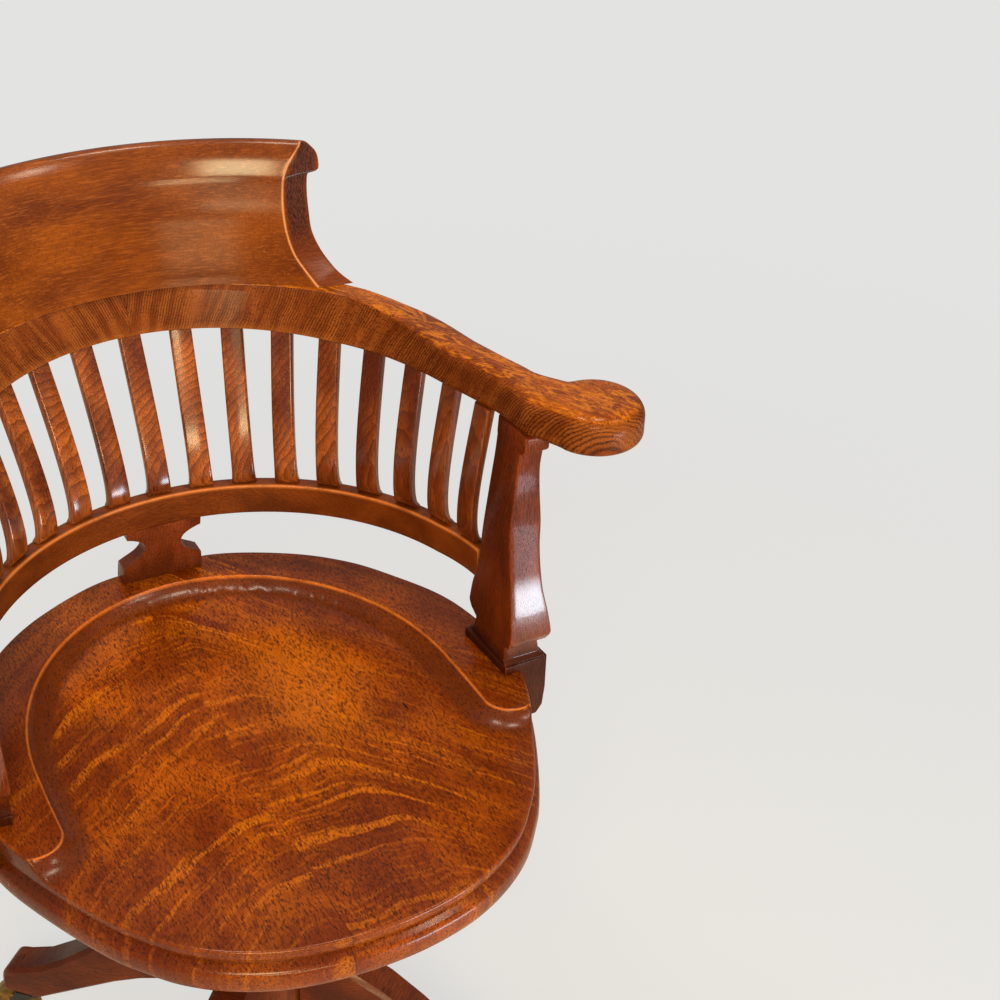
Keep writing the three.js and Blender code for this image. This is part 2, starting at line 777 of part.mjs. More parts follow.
// Iron plate under the seat, with four feet, two lugs for the pin and two bosses for the rods
function makeSeatIron() {
  const half = ironHalfWidth;
  const reach = half + ironFootReach;
  const rows = [
    [half, ironFrontY], [reach, ironFrontY], [reach, ironFrontY + ironFootWidth],
    [half, ironFrontY + ironFootWidth], [half, ironBackY - ironFootWidth], [reach, ironBackY - ironFootWidth],
    [reach, ironBackY], [half, ironBackY],
  ];
  const left = rows.map(([x, y]) => [-x, y]).reverse();
  const outline = [...rows, ...left].map(([x, y]) => new THREE.Vector2(x, y));
  const flat = plate(outline, ironUnderside, ironThick);
  const lugs = [-1, 1].map((side) => {
    const middle = side * (lugOffset + lugThick / 2);
    const bottom = pinHeight - lugHalfDepth;
    return block(middle - lugThick / 2, middle + lugThick / 2, pinY - lugHalfDepth, pinY + lugHalfDepth,
      bottom, ironUnderside + ironThick / 2);
  });
  const bosses = [-1, 1].map((side) => rod(rodBossRadius, rodBossHeight + ironThick / 2, side * rodX, rodY,
    ironUnderside - rodBossHeight, 12));
  const bores = [-1, 1].map((side) => rod(rodRadius + fit, rodBossHeight + overrun, side * rodX, rodY,
    ironUnderside - rodBossHeight - overrun, 12));
  const pinHole = crossRod(pinRadius + fit, pinLength + overrun, 0, pinY, pinHeight, 20);
  const holes = ironFeet().map(([x, y]) => rod(screwRadius + fit, ironThick + 2 * overrun, x, y,
    ironUnderside - overrun, 10));
  place('seat_iron', cut(join(flat, ...lugs, ...bosses), ...bores, pinHole, ...holes), iron);
}

function makeTiltPin() {
  place('tilt_pin', crossRod(pinRadius, pinLength, 0, pinY, pinHeight, 20), steel);
}

// Swivel head: a slotted plate with two ears and two stops, on a round socket
function makeYoke() {
  const backY = pinY + lugHalfDepth;
  const frontY = rodY - slotDepth + slotWidth / 2;
  const earOut = lugOffset - slip;
  const crossbar = block(-yokeHalfWidth, yokeHalfWidth, frontY, rodY + 2 * slotWidth, yokeUnderside, yokeTop);
  const spine = block(-earOut, earOut, rodY, backY, yokeUnderside, yokeTop);
  const ears = [-1, 1].map((side) => {
    const middle = side * (earOut - earThick / 2);
    return block(middle - earThick / 2, middle + earThick / 2, pinY - lugHalfDepth, pinY + lugHalfDepth,
      yokeUnderside + yokeThick / 2, pinHeight + lugHalfDepth / 2 + pinRadius / 2);
  });
  const stops = [-1, 1].map((side) => {
    const middle = side * stopX;
    return block(middle - stopWidth / 2, middle + stopWidth / 2, frontY, frontY + stopWidth,
      yokeUnderside + yokeThick / 2, ironUnderside - fit);
  });
  const socket = rod(socketRadius, socketDrop + yokeThick / 2, 0, 0, socketUnderside);
  const slots = [-1, 1].map((side) => {
    const middle = side * rodX;
    const rear = rod(slotWidth / 2, yokeThick + 2 * overrun, middle, rodY, yokeUnderside - overrun, 16);
    const mouth = block(middle - slotWidth / 2, middle + slotWidth / 2, frontY - overrun, rodY,
      yokeUnderside - overrun, yokeTop + overrun);
    return join(rear, mouth);
  });
  const pinHole = crossRod(pinRadius + fit, pinLength + overrun, 0, pinY, pinHeight, 20);
  const bore = rod(journalRadius + fit, journalLength + fit + overrun, 0, 0, socketUnderside - overrun);
  const screwHole = setScrewRod(setScrewRadius + fit, overrun);
  const body = join(crossbar, spine, ...ears, ...stops, socket);
  const solid = cut(body, ...slots, pinHole, bore, screwHole);
  place('tilt_yoke', solid, iron);
}

// The set screw enters the socket from behind and reaches into the journal's groove
function setScrewRod(radius, extra) {
  const shape = new THREE.CylinderGeometry(radius, radius, setScrewLength + extra, 12);
  const start = journalRadius - grooveDepth + slip + (setScrewLength + extra) / 2;
  shape.translate(0, start, socketUnderside + grooveDrop);
  return shape;
}

function makeSetScrew() {
  place('set_screw', setScrewRod(setScrewRadius, 0), steel);
}

// A coil along Z as one unbroken tube, with a short straight end at each side of it
function springSolid(side) {
  const middle = new THREE.Vector3(side * rodX, rodY, springBottom + springLength / 2);
  const tall = springLength - 2 * fit - 2 * springWire;
  const points = [];
  const turns = springCurls * springSteps;
  for (let step = 0; step <= turns; step += 1) {
    const angle = (step / springSteps) * 2 * Math.PI * side;
    const z = (step / turns - 0.5) * tall;
    points.push(new THREE.Vector3(springRadius * Math.cos(angle), springRadius * Math.sin(angle), z));
  }
  const endRun = upDirection.clone().multiplyScalar(springWire);
  points.unshift(points[0].clone().sub(endRun));
  points.push(points[points.length - 1].clone().add(endRun));
  return { solid: tubeAlong(points, springWire / 2, springSides, middle), points };
}

// A tube of rings square to a list of points, its ends square to Z
function tubeAlong(points, radius, sides, middle) {
  const last = points.length - 1;
  const rings = points.map((point, at) => {
    const before = points[Math.max(at - 1, 0)];
    const after = points[Math.min(at + 1, last)];
    const run = after.clone().sub(before).normalize();
    const out = new THREE.Vector3(point.x, point.y, 0).normalize();
    const up = new THREE.Vector3().crossVectors(run, out).normalize();
    const square = new THREE.Vector3().crossVectors(up, run).normalize();
    const ring = [];
    for (let step = 0; step < sides; step += 1) {
      const angle = (step / sides) * 2 * Math.PI;
      const spot = point.clone().add(middle);
      spot.addScaledVector(square, radius * Math.cos(angle));
      spot.addScaledVector(up, radius * Math.sin(angle));
      ring.push(spot);
    }
    return ring;
  });
  return loft(rings);
}

// The least gap from the coil to itself, measured between points one curl apart
function springGap(points) {
  const gaps = points.slice(0, -springSteps).map((point, at) => point.distanceTo(points[at + springSteps]));
  return Math.min(...gaps) - springWire;
}

function makeSprings() {
  [['left', -1], ['right', 1]].forEach(([name, side]) => {
    const { solid, points } = springSolid(side);
    console.log(`least gap of spring_${name} to itself: ${springGap(points).toFixed(2)} mm`);
    place(`spring_${name}`, solid, steel);
  });
}

// Rows up a tension nut: reach and drop below its spring
const nutShares = [[0, 1], [0.55, 1], [0.62, 0.4], [1, 0.34], [1, 0], [0, 0]];

// Rods hang from the iron's bosses, each with a flanged nut under its spring
function makeTensionRods() {
  [['left', -1], ['right', 1]].forEach(([name, side]) => {
    const top = ironUnderside - fit;
    place(`tension_rod_${name}`, rod(rodRadius, top - rodBottom, side * rodX, rodY, rodBottom, 16), steel);
    const body = turned(nutShares.map(([reach, drop]) => [reach * nutRadius, -drop * nutHeight]), 24);
    body.translate(side * rodX, rodY, springBottom);
    const bore = rod(rodRadius + fit, nutHeight + 2 * overrun, side * rodX, rodY,
      springBottom - nutHeight - overrun, 16);
    place(`tension_nut_${name}`, cut(body, bore), iron);
  });
}

// Spindle: screw, collar and journal with a groove, and a keyway down the screw
function makeSpindle() {
  const collarTop = socketUnderside - fit;
  const groove = socketUnderside + grooveDrop;
  const bottom = spindleBottom;
  const groovedRadius = journalRadius - grooveDepth;
  const rows = [
    [0, bottom], [spindleRadius, bottom], [spindleRadius, collarUnderside], [collarRadius, collarUnderside],
    [collarRadius, collarTop], [journalRadius, collarTop], [journalRadius, groove - grooveHeight / 2],
    [groovedRadius, groove - grooveHeight / 2], [groovedRadius, groove + grooveHeight / 2],
    [journalRadius, groove + grooveHeight / 2], [journalRadius, socketUnderside + journalLength - fit],
    [0, socketUnderside + journalLength - fit],
  ];
  const keyway = block(-keyWidth / 2 - fit, keyWidth / 2 + fit, spindleRadius - keyDepth / 2 - fit,
    spindleRadius + overrun, bottom - overrun, collarUnderside - wheelDrop / 4);
  place('spindle', cut(turned(rows, 24), keyway), steel);
}

// Key held in the lining, running in the spindle's keyway
function makeKey() {
  const y0 = spindleRadius - keyDepth / 2;
  const top = flangeTop - fit;
  place('spindle_key', block(-keyWidth / 2, keyWidth / 2, y0, y0 + keyDepth, top - keyHeight, top), steel);
}

// Handwheel nut with a lobed rim
function makeHandwheel() {
  const steps = 64;
  const points = [];
  for (let step = 0; step < steps; step += 1) {
    const angle = (step / steps) * 2 * Math.PI;
    const lobe = (wheelLobeDepth / 2) * (1 - Math.cos(wheelLobes * angle));
    const reach = wheelRadius - lobe;
    points.push(new THREE.Vector2(reach * Math.cos(angle), reach * Math.sin(angle)));
  }
  const rimBottom = wheelUnderside + (wheelHeight - wheelRim) / 2;
  const rim = plate(points, rimBottom, wheelRim);
  const boss = turned([
    [0, wheelUnderside], [collarRadius + wheelRim, wheelUnderside], [collarRadius + wheelRim / 2, wheelTop],
    [0, wheelTop],
  ], 24);
  const bore = rod(spindleRadius + fit, wheelHeight + 2 * overrun, 0, 0, wheelUnderside - overrun);
  place('handwheel', cut(join(rim, boss), bore), iron);
}

// Iron lining with a flange on top of the hub and a slot for the key
function makeLining() {
  const flangeBottom = flangeTop - flangeHeight;
  const bottom = liningBottom;
  const rows = [
    [0, bottom], [liningRadius, bottom], [liningRadius, flangeBottom], [flangeRadius, flangeBottom],
    [flangeRadius, flangeTop], [0, flangeTop],
  ];
  const bore = rod(spindleRadius + fit, flangeTop - bottom + 2 * overrun, 0, 0, bottom - overrun);
  const y0 = spindleRadius - keyDepth / 2;
  const slot = block(-keyWidth / 2 - fit, keyWidth / 2 + fit, y0, y0 + keyDepth + fit,
    flangeTop - fit - keyHeight - fit, flangeTop + overrun);
  place('hub_lining', cut(turned(rows, 24), bore, slot), iron);
}

// Turned oak hub with a deep bore for the lining and the spindle's tail
function makeHub() {
  const hubShares = [
    [0, 0], [0.3, 0], [0.52, 0.03], [0.6, 0.08], [0.42, 0.13], [0.48, 0.17], [0.86, 0.2],
    [hubBodyShare, 0.24], [hubBodyShare, 0.86], [1, 0.89], [1.02, 0.93], [0.98, 0.975], [0.9, 1], [0, 1],
  ];
  const rows = hubShares.map(([reach, height]) => [reach * hubRadius, hubBottom + height * hubHeight]);
  const bore = rod(liningRadius + fit, hubTop - boreBottom + overrun, 0, 0, boreBottom);
  place('hub', cut(turned(rows, 24), bore), oakDark);
}

// Outline of a leg in side view, from the hub out to its foot
function legOutline(root) {
  const tipTop = legFootHeight + legFootThick;
  const underShares = [[0.38, 0.5], [0.62, 1.1]];
  const overShares = [[0.72, 0.3], [0.5, 0]];
  const [under, underFar] = underShares.map(([along, up]) => [along * legReach, up * legFootThick]);
  const [over, overNear] = overShares.map(([along, up]) => [along * legReach, up * legFootThick]);
  const heel = stemReach - legFootThick / 2;
  const shape = new THREE.Shape();
  shape.moveTo(root, legRootBottom);
  shape.bezierCurveTo(under[0], legRootBottom + under[1], underFar[0], legFootHeight + underFar[1],
    heel, legFootHeight);
  shape.lineTo(legReach - legFootThick / 4, legFootHeight);
  shape.quadraticCurveTo(legReach, legFootHeight, legReach, legFootHeight + legFootThick / 3);
  shape.quadraticCurveTo(legReach, tipTop, legReach - legFootThick / 2, tipTop);
  shape.bezierCurveTo(over[0], tipTop + over[1], overNear[0], legRootTop + overNear[1],
    root + legFootThick / 2, legRootTop);
  shape.lineTo(root, legRootTop);
  return shape;
}

function legSolid() {
  const root = hubRadius * hubBodyShare - legBevel;
  const solid = new THREE.ExtrudeGeometry(legOutline(root), {
    depth: legThick - 2 * legBevel,
    bevelThickness: legBevel,
    bevelSize: legBevel,
    bevelOffset: -legBevel,
    bevelSegments: 1,
    curveSegments: 7,
  });
  solid.translate(0, 0, legBevel - legThick / 2);
  solid.rotateX(Math.PI / 2);
  const hubSide = rod(hubRadius * hubBodyShare + fit, legRootTop + overrun, 0, 0, 0, 24);
  const hole = rod(stemRadius + fit, stemLength + fit + overrun, stemReach, 0, legFootHeight - overrun, 10);
  return cut(solid, hubSide, hole);
}

// Iron horn of a castor: a stem, a crown plate and two raked cheeks
function castorHorn() {
  const crownTop = legFootHeight - fit;
  const crownBottom = crownTop - crownHeight;
  const inner = castorWheelWidth / 2 + cheekGap;
  const stem = rod(stemRadius, stemLength + crownHeight, 0, 0, crownBottom, 10);
  const crown = rod(inner + cheekThick, crownHeight, 0, 0, crownBottom, 16);
  const tip = cheekWidth / 2;
  const shape = new THREE.Shape();
  shape.moveTo(-tip, crownTop - fit);
  shape.lineTo(castorTrail - tip, castorWheelRadius);
  shape.absarc(castorTrail, castorWheelRadius, tip, Math.PI, 2 * Math.PI, false);
  shape.lineTo(tip, crownTop - fit);
  const cheeks = [-1, 1].map((side) => {
    const depth = cheekThick;
    const cheek = new THREE.ExtrudeGeometry(shape, { depth, bevelEnabled: false, curveSegments: 5 });
    cheek.rotateX(Math.PI / 2);
    cheek.translate(0, side * (inner + cheekThick / 2) + cheekThick / 2, 0);
    return cheek;
  });
  const hole = new THREE.CylinderGeometry(axleRadius + fit, axleRadius + fit, castorWheelWidth * 3, 10);
  hole.translate(castorTrail, 0, castorWheelRadius);
  return cut(join(stem, crown, ...cheeks), hole);
}

// Castor wheel with a rounded tread, whose flats lie on its true radius
function castorWheel() {
  const steps = 20;
  const half = castorWheelWidth / 2;
  const round = half / 3;
  const bore = axleRadius + fit;
  const tread = castorWheelRadius / Math.cos(Math.PI / steps);
  const rows = [
    [bore, -half], [tread - round, -half], [tread, round - half],
    [tread, half - round], [tread - round, half], [bore, half], [bore, -half],
  ];
  const shape = new THREE.LatheGeometry(rows.map(([r, z]) => new THREE.Vector2(r, z)), steps);
  shape.rotateY(Math.PI / steps);
  shape.translate(castorTrail, 0, castorWheelRadius);
  return shape;
}

// Axle pin with a rounded head outside each cheek
function castorAxle() {
  const half = castorWheelWidth / 2 + cheekGap + cheekThick + fit;
  const crownRadius = axleHeadRadius * headCrownShare;
  const rows = [
    [0, -half - axleHeadThick], [crownRadius, -half - axleHeadThick], [axleHeadRadius, -half],
    [axleRadius, -half], [axleRadius, half], [axleHeadRadius, half],
    [crownRadius, half + axleHeadThick], [0, half + axleHeadThick],
  ];
  const shape = new THREE.LatheGeometry(rows.map(([r, z]) => new THREE.Vector2(r, z)), 10);
  shape.translate(castorTrail, 0, castorWheelRadius);
  return shape;
}

// Four legs on the diagonals, each with its castor trailing outwards
function makeBase() {
  const leg = legSolid();
  const horn = castorHorn();
  const wheel = castorWheel();
  const axle = castorAxle();
  for (let at = 0; at < legCount; at += 1) {
    const angle = ((at + 0.5) / legCount) * 2 * Math.PI;
    place(`leg_${at + 1}`, leg, oakDark).rotation.z = angle;
    const x = stemReach * Math.cos(angle);
    const y = stemReach * Math.sin(angle);
    const pieces = [
      place(`castor_horn_${at + 1}`, horn, iron),
      place(`castor_wheel_${at + 1}`, wheel, brass),
      place(`castor_axle_${at + 1}`, axle, steel),
    ];
    pieces.forEach((piece) => {
      piece.position.set(x, y, 0);
      piece.rotation.z = angle;
    });
  }
}

// Round-headed screws up through the iron's feet into the seat
function makeSeatScrews() {
  ironFeet().forEach(([x, y], at) => {
    const head = ironUnderside - fit;
    const rows = [
      [0, head - screwHeadHeight], [screwHeadRadius * headCrownShare, head - screwHeadHeight],
      [screwHeadRadius, head], [screwRadius, head], [screwRadius, head + screwLength],
      [0, head + screwLength],
    ];
    const screw = turned(rows, 12);
    screw.translate(x, y, 0);
    place(`seat_screw_${at + 1}`, screw, steel);
  });
}

makeSeat();
makeCrest();
makeArms();
makeLowerRail();
makeCentreBlock();
makePosts();
makeSlats();
makeSeatIron();
makeTiltPin();
makeYoke();
makeSetScrew();
makeSprings();
makeTensionRods();
makeSpindle();
makeKey();
makeHandwheel();
makeLining();
makeHub();
makeBase();
makeSeatScrews();

// The origin is on the floor under the middle of the whole chair
const bounds = new THREE.Box3().setFromObject(chair, true);
const middle = bounds.getCenter(new THREE.Vector3());
chair.position.set(-middle.x, -middle.y, -bounds.min.z);
chair.updateMatrixWorld(true);

export default chair;
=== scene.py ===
import math
import bmesh
import bpy
import numpy as np
from mathutils import Matrix, Vector
from mathutils.kdtree import KDTree


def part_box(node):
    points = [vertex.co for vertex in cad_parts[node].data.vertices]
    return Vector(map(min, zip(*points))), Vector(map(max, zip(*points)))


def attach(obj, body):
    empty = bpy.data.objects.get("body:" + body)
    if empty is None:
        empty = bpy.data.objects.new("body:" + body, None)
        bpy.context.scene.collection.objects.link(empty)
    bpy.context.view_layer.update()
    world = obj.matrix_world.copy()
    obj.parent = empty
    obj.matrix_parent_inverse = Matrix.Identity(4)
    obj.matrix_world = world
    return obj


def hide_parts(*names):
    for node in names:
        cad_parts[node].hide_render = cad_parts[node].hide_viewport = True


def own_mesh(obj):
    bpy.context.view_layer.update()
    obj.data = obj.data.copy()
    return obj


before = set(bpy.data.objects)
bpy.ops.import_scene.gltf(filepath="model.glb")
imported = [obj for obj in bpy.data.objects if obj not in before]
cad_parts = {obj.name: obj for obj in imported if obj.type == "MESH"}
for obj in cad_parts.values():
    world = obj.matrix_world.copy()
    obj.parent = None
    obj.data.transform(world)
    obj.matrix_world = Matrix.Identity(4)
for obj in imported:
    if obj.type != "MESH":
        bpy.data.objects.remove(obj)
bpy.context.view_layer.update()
spindleLow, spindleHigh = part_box("spindle")
axisY = (spindleLow.y + spindleHigh.y) / 2  # the chair's own plan is measured from the spindle
mm = 0.001
scene = bpy.context.scene


# ---- plain help with points and meshes; lengths are in millimetres from the spindle's axis ----

def smoothLine(points, perSpan=10, closed=False):
    p = np.asarray(points, float)
    n = len(p)
    rows = []
    for k in range(n if closed else n - 1):
        before = p[(k - 1) % n] if closed or k else 2 * p[0] - p[1]
        after = p[(k + 2) % n] if closed or k + 2 < n else 2 * p[-1] - p[-2]
        start, end = p[k], p[(k + 1) % n]
        for s in np.linspace(0, 1, perSpan, endpoint=False):
            rows.append(0.5 * (
                2 * start + (end - before) * s + (2 * before - 5 * start + 4 * end - after) * s * s
                + (3 * start - before - 3 * end + after) * s ** 3))
    if not closed:
        rows.append(p[-1])
    return np.array(rows)


def evenLine(points, count, closed=False):
    p = np.asarray(points, float)
    if closed:
        p = np.vstack([p, p[:1]])
    run = np.concatenate([[0], np.cumsum(np.linalg.norm(np.diff(p, axis=0), axis=1))])
    want = np.linspace(0, run[-1], count, endpoint=not closed)
    return np.stack([np.interp(want, run, p[:, k]) for k in range(p.shape[1])], axis=1)


def shareOf(rows, share):
    at, value = zip(*rows)
    return np.interp(share, at, value)


def gapTo(points, line, closed=False):
    # distance from each point to a polyline in plan, and the nearest segment's number
    ends = np.vstack([line, line[:1]]) if closed else line
    a, b = ends[:-1], ends[1:]
    run = b - a
    size = np.maximum((run ** 2).sum(1), 1e-12)
    best, near = [], []
    for chunk in np.array_split(points, max(1, len(points) // 4000)):
        t = np.clip(((chunk[:, None] - a) * run).sum(2) / size, 0, 1)
        gap = np.linalg.norm(chunk[:, None] - (a + t[..., None] * run), axis=2)
        near.append(gap.argmin(1))
        best.append(gap.min(1))
    return np.concatenate(best), np.concatenate(near)


def gridFaces(rows, columns, closed=False, first=0):
    faces = []
    for r in range(rows - 1):
        for c in range(columns if closed else columns - 1):
            d = (c + 1) % columns
            faces.append((first + r * columns + c, first + r * columns + d,
                          first + (r + 1) * columns + d, first + (r + 1) * columns + c))
    return faces


def arcOf(centre, reach, start, end, count):
    # points round a centre, from one turn to another
    return [(centre[0] + reach[0] * math.cos(t), centre[1] + reach[1] * math.sin(t))
            for t in np.linspace(start, end, count)]


def linked(name, data):
    piece = bpy.data.objects.new(name, data)
    scene.collection.objects.link(piece)
    return piece


def newPiece(name, verts, faces):
    mesh = bpy.data.meshes.new(name)
    v = np.asarray(verts, float) * mm
    v[:, 1] += axisY
    mesh.from_pydata(v.tolist(), [], faces)
    return linked(name, mesh)


def reworked(piece, change):
    bm = bmesh.new()
    bm.from_mesh(piece.data)
    change(bm)
    bm.to_mesh(piece.data)
    bm.free()
    return piece


def cleaned(piece, merge=0.00002):
    def weld(bm):
        bmesh.ops.remove_doubles(bm, verts=bm.verts, dist=merge)
        bmesh.ops.dissolve_degenerate(bm, dist=merge / 4, edges=bm.edges)
        bmesh.ops.recalc_face_normals(bm, faces=bm.faces)
    return reworked(piece, weld)


def capped(piece):
    return reworked(piece, lambda bm: bmesh.ops.holes_fill(bm, edges=bm.edges, sides=0))


def bevelled(piece, width, segments=3, angle=35):
    tool = piece.modifiers.new("edges", "BEVEL")
    tool.width = width * mm
    tool.segments = segments
    tool.limit_method = "ANGLE"
    tool.angle_limit = math.radians(angle)
    tool.use_clamp_overlap = True
    return baked(piece)


def baked(piece):
    done = bpy.data.meshes.new_from_object(piece.evaluated_get(bpy.context.evaluated_depsgraph_get()))
    piece.modifiers.clear()
    piece.data = done
    return piece


def rawCorners(mesh):
    co = np.zeros(len(mesh.vertices) * 3)
    mesh.vertices.foreach_get("co", co)
    return co.reshape(-1, 3)


def cornersOf(mesh):
    # in millimetres from the spindle's axis
    co = rawCorners(mesh) / mm
    co[:, 1] -= axisY / mm
    return co


def storeShare(mesh, name, value):
    layer = mesh.attributes.new(name, "FLOAT", "POINT")
    layer.data.foreach_set("value", np.asarray(value, np.float32))


wearBend = {"from": 0.1, "over": 0.5}  # how sharp a turn starts to wear, and what more of it wears fully


def markWear(mesh):
    # how sharply the surface turns at each corner: worn arrises 0 to 1, hollows 0 to 1
    n = len(mesh.vertices)
    co = rawCorners(mesh)
    edges = np.zeros(len(mesh.edges) * 2, int)
    mesh.edges.foreach_get("vertices", edges)
    a, b = edges.reshape(-1, 2).T
    total, count, size = np.zeros((n, 3)), np.zeros(n), np.zeros(n)
    length = np.maximum(np.linalg.norm(co[a] - co[b], axis=1), 1e-6)
    for i, j in ((a, b), (b, a)):
        np.add.at(total, i, (co[j] - co[i]) / length[:, None])
        np.add.at(count, i, 1)
        np.add.at(size, i, length)
    normal = np.zeros(n * 3)
    mesh.vertex_normals.foreach_get("vector", normal)
    bend = -(total / np.maximum(count, 1)[:, None] * normal.reshape(-1, 3)).sum(1)
    bend = 2 * bend / np.maximum(size / np.maximum(count, 1), 1e-6) * mm
    for name, value in (("arris", bend), ("hollow", -bend)):
        storeShare(mesh, name, np.clip((value - wearBend["from"]) / wearBend["over"], 0, 1))


def markAlong(mesh, lines):
    # a rubbed edge along each line of points: 1 on it, 0 past its reach
    co = cornersOf(mesh)
    value = np.zeros(len(co))
    for points, reach in lines:
        tree = KDTree(len(points))
        for k, point in enumerate(points):
            tree.insert(point, k)
        tree.balance()
        gap = np.array([tree.find(c)[2] for c in co])
        value = np.maximum(value, np.clip(1.6 - 1.6 * gap / reach, 0, 1))
    storeShare(mesh, "rubbed", value)


def finished(piece, body, nodes, material, sharp=40, lines=()):
    mesh = piece.data
    mesh.shade_smooth()
    mesh.set_sharp_from_angle(angle=math.radians(sharp))
    markWear(mesh)
    markAlong(mesh, lines)
    mesh.materials.clear()
    mesh.materials.append(material)
    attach(piece, body)
    if nodes:
        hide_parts(*nodes)
    return piece


def mirrorOf(piece, name):
    other = linked(name, piece.data.copy())
    other.data.name = name
    other.data.transform(Matrix.Scale(-1, 4, (1, 0, 0)))
    other.data.flip_normals()
    return other


def filledIn(ring, step):
    # a closed ring with no gap between its points wider than the step
    p = np.asarray(ring, float)
    out = []
    for here, after in zip(p, np.roll(p, -1, axis=0)):
        count = max(1, int(np.ceil(np.linalg.norm(after - here) / step)))
        out += [here + (after - here) * k / count for k in range(count)]
    return np.array(out)


def eased(ring, corners, reach, steps=4):
    # rounds the named corners of a closed ring of points
    p = np.asarray(ring, float)
    out = []
    for k, point in enumerate(p):
        if k not in corners:
            out.append(point)
            continue
        before, after = p[k - 1] - point, p[(k + 1) % len(p)] - point
        start = point + before * min(0.45, reach / max(np.linalg.norm(before), 1e-6))
        end = point + after * min(0.45, reach / max(np.linalg.norm(after), 1e-6))
        for t in np.linspace(0, 1, steps + 1):
            out.append((1 - t) ** 2 * start + 2 * t * (1 - t) * point + t * t * end)
    return np.array(out)


def lofted(name, rings):
    rings = np.asarray(rings, float)
    count = rings.shape[1]
    faces = gridFaces(len(rings), count, closed=True)
    faces.append(tuple(range(count))[::-1])
    last = (len(rings) - 1) * count
    faces.append(tuple(range(last, last + count)))
    return cleaned(newPiece(name, rings.reshape(-1, 3), faces))


def turned(name, rows, steps=96):
    # a shape turned about the spindle's axis
    angle = np.arange(steps) * 2 * math.pi / steps
    verts = [(reach * math.cos(t), reach * math.sin(t), z) for reach, z in rows for t in angle]
    return cleaned(newPiece(name, verts, gridFaces(len(rows), steps, closed=True)))


# ---- node help ----

def addNode(tree, kind, values=None, **settings):
    node = tree.nodes.new(kind)
    for key, value in settings.items():
        setattr(node, key, value)
    for key, value in (values or {}).items():
        socket = node.inputs[key]
        if isinstance(value, bpy.types.NodeSocket):
            tree.links.new(value, socket)
        else:
            socket.default_value = value
    return node


def sums(tree, kind, *values, clamp=False):
    node = addNode(tree, "ShaderNodeMath", dict(enumerate(values)), operation=kind)
    node.use_clamp = clamp
    return node.outputs[0]


def plus(tree, a, b, clamp=False):
    return sums(tree, "ADD", a, b, clamp=clamp)


def minus(tree, a, b):
    return sums(tree, "SUBTRACT", a, b)


def times(tree, first, *others, clamp=False):
    for other in others:
        first = sums(tree, "MULTIPLY", first, other, clamp=clamp)
    return first


def over(tree, a, b):
    return sums(tree, "DIVIDE", a, b)


def vectors(tree, kind, *values):
    return addNode(tree, "ShaderNodeVectorMath", dict(enumerate(values)), operation=kind).outputs[0]


def scaled(tree, vector, by):
    return addNode(tree, "ShaderNodeVectorMath", {0: vector, "Scale": by}, operation="SCALE").outputs[0]


def lengthOf(tree, vector):
    return addNode(tree, "ShaderNodeVectorMath", {0: vector}, operation="LENGTH").outputs["Value"]


def partsOf(tree, vector):
    return addNode(tree, "ShaderNodeSeparateXYZ", {0: vector}).outputs


def fromParts(tree, x, y, z):
    return addNode(tree, "ShaderNodeCombineXYZ", {0: x, 1: y, 2: z}).outputs[0]


def marked(tree, name):
    return addNode(tree, "ShaderNodeAttribute", attribute_name=name).outputs["Fac"]


def fade(tree, value, low, high, start=0.0, end=1.0):
    node = addNode(tree, "ShaderNodeMapRange", {0: value, 1: low, 2: high, 3: start, 4: end})
    node.interpolation_type = "SMOOTHSTEP"
    return node.outputs[0]


def speckle(tree, vector, scale, detail=2.0, rough=0.5, twist=0.0):
    return addNode(tree, "ShaderNodeTexNoise", {"Vector": vector, "Scale": scale, "Detail": detail,
                                                "Roughness": rough, "Distortion": twist}).outputs["Fac"]


def stretched(tree, vector, scale, shift=(0, 0, 0), turn=(0, 0, 0)):
    return addNode(tree, "ShaderNodeMapping", {
        "Vector": vector, "Scale": scale, "Location": shift, "Rotation": turn}).outputs[0]


def inMillimetres(tree, place, fromSpindle=False):
    return stretched(tree, place, (1000, 1000, 1000), (0, -axisY * 1000, 0) if fromSpindle else (0, 0, 0))


def mixed(tree, fac, a, b, kind="MIX"):
    node = addNode(tree, "ShaderNodeMix", data_type="RGBA", blend_type=kind)
    for key, value in ((0, fac), (6, a), (7, b)):
        if isinstance(value, bpy.types.NodeSocket):
            tree.links.new(value, node.inputs[key])
        else:
            node.inputs[key].default_value = value
    return node.outputs[2]


def tone(r, g, b):
    def linear(v):
        v /= 255
        return v / 12.92 if v < 0.04045 else ((v + 0.055) / 1.055) ** 2.4
    return (linear(r), linear(g), linear(b), 1.0)


def newGroup(name, ins, outs):
    group = bpy.data.node_groups.new(name, "ShaderNodeTree")
    for label, kind, value in ins:
        socket = group.interface.new_socket(label, in_out="INPUT", socket_type=kind)
        if value is not None:
            socket.default_value = value
    for label in outs:
        group.interface.new_socket(label, in_out="OUTPUT", socket_type="NodeSocketFloat")
    return group, group.nodes.new("NodeGroupInput").outputs, group.nodes.new("NodeGroupOutput").inputs


def newMaterial(name):
    material = bpy.data.materials.new(name)
    material.use_nodes = True
    return material, material.node_tree, material.node_tree.nodes["Principled BSDF"]


def setInputs(node, values):
    for label, value in values.items():
        node.inputs[label].default_value = value


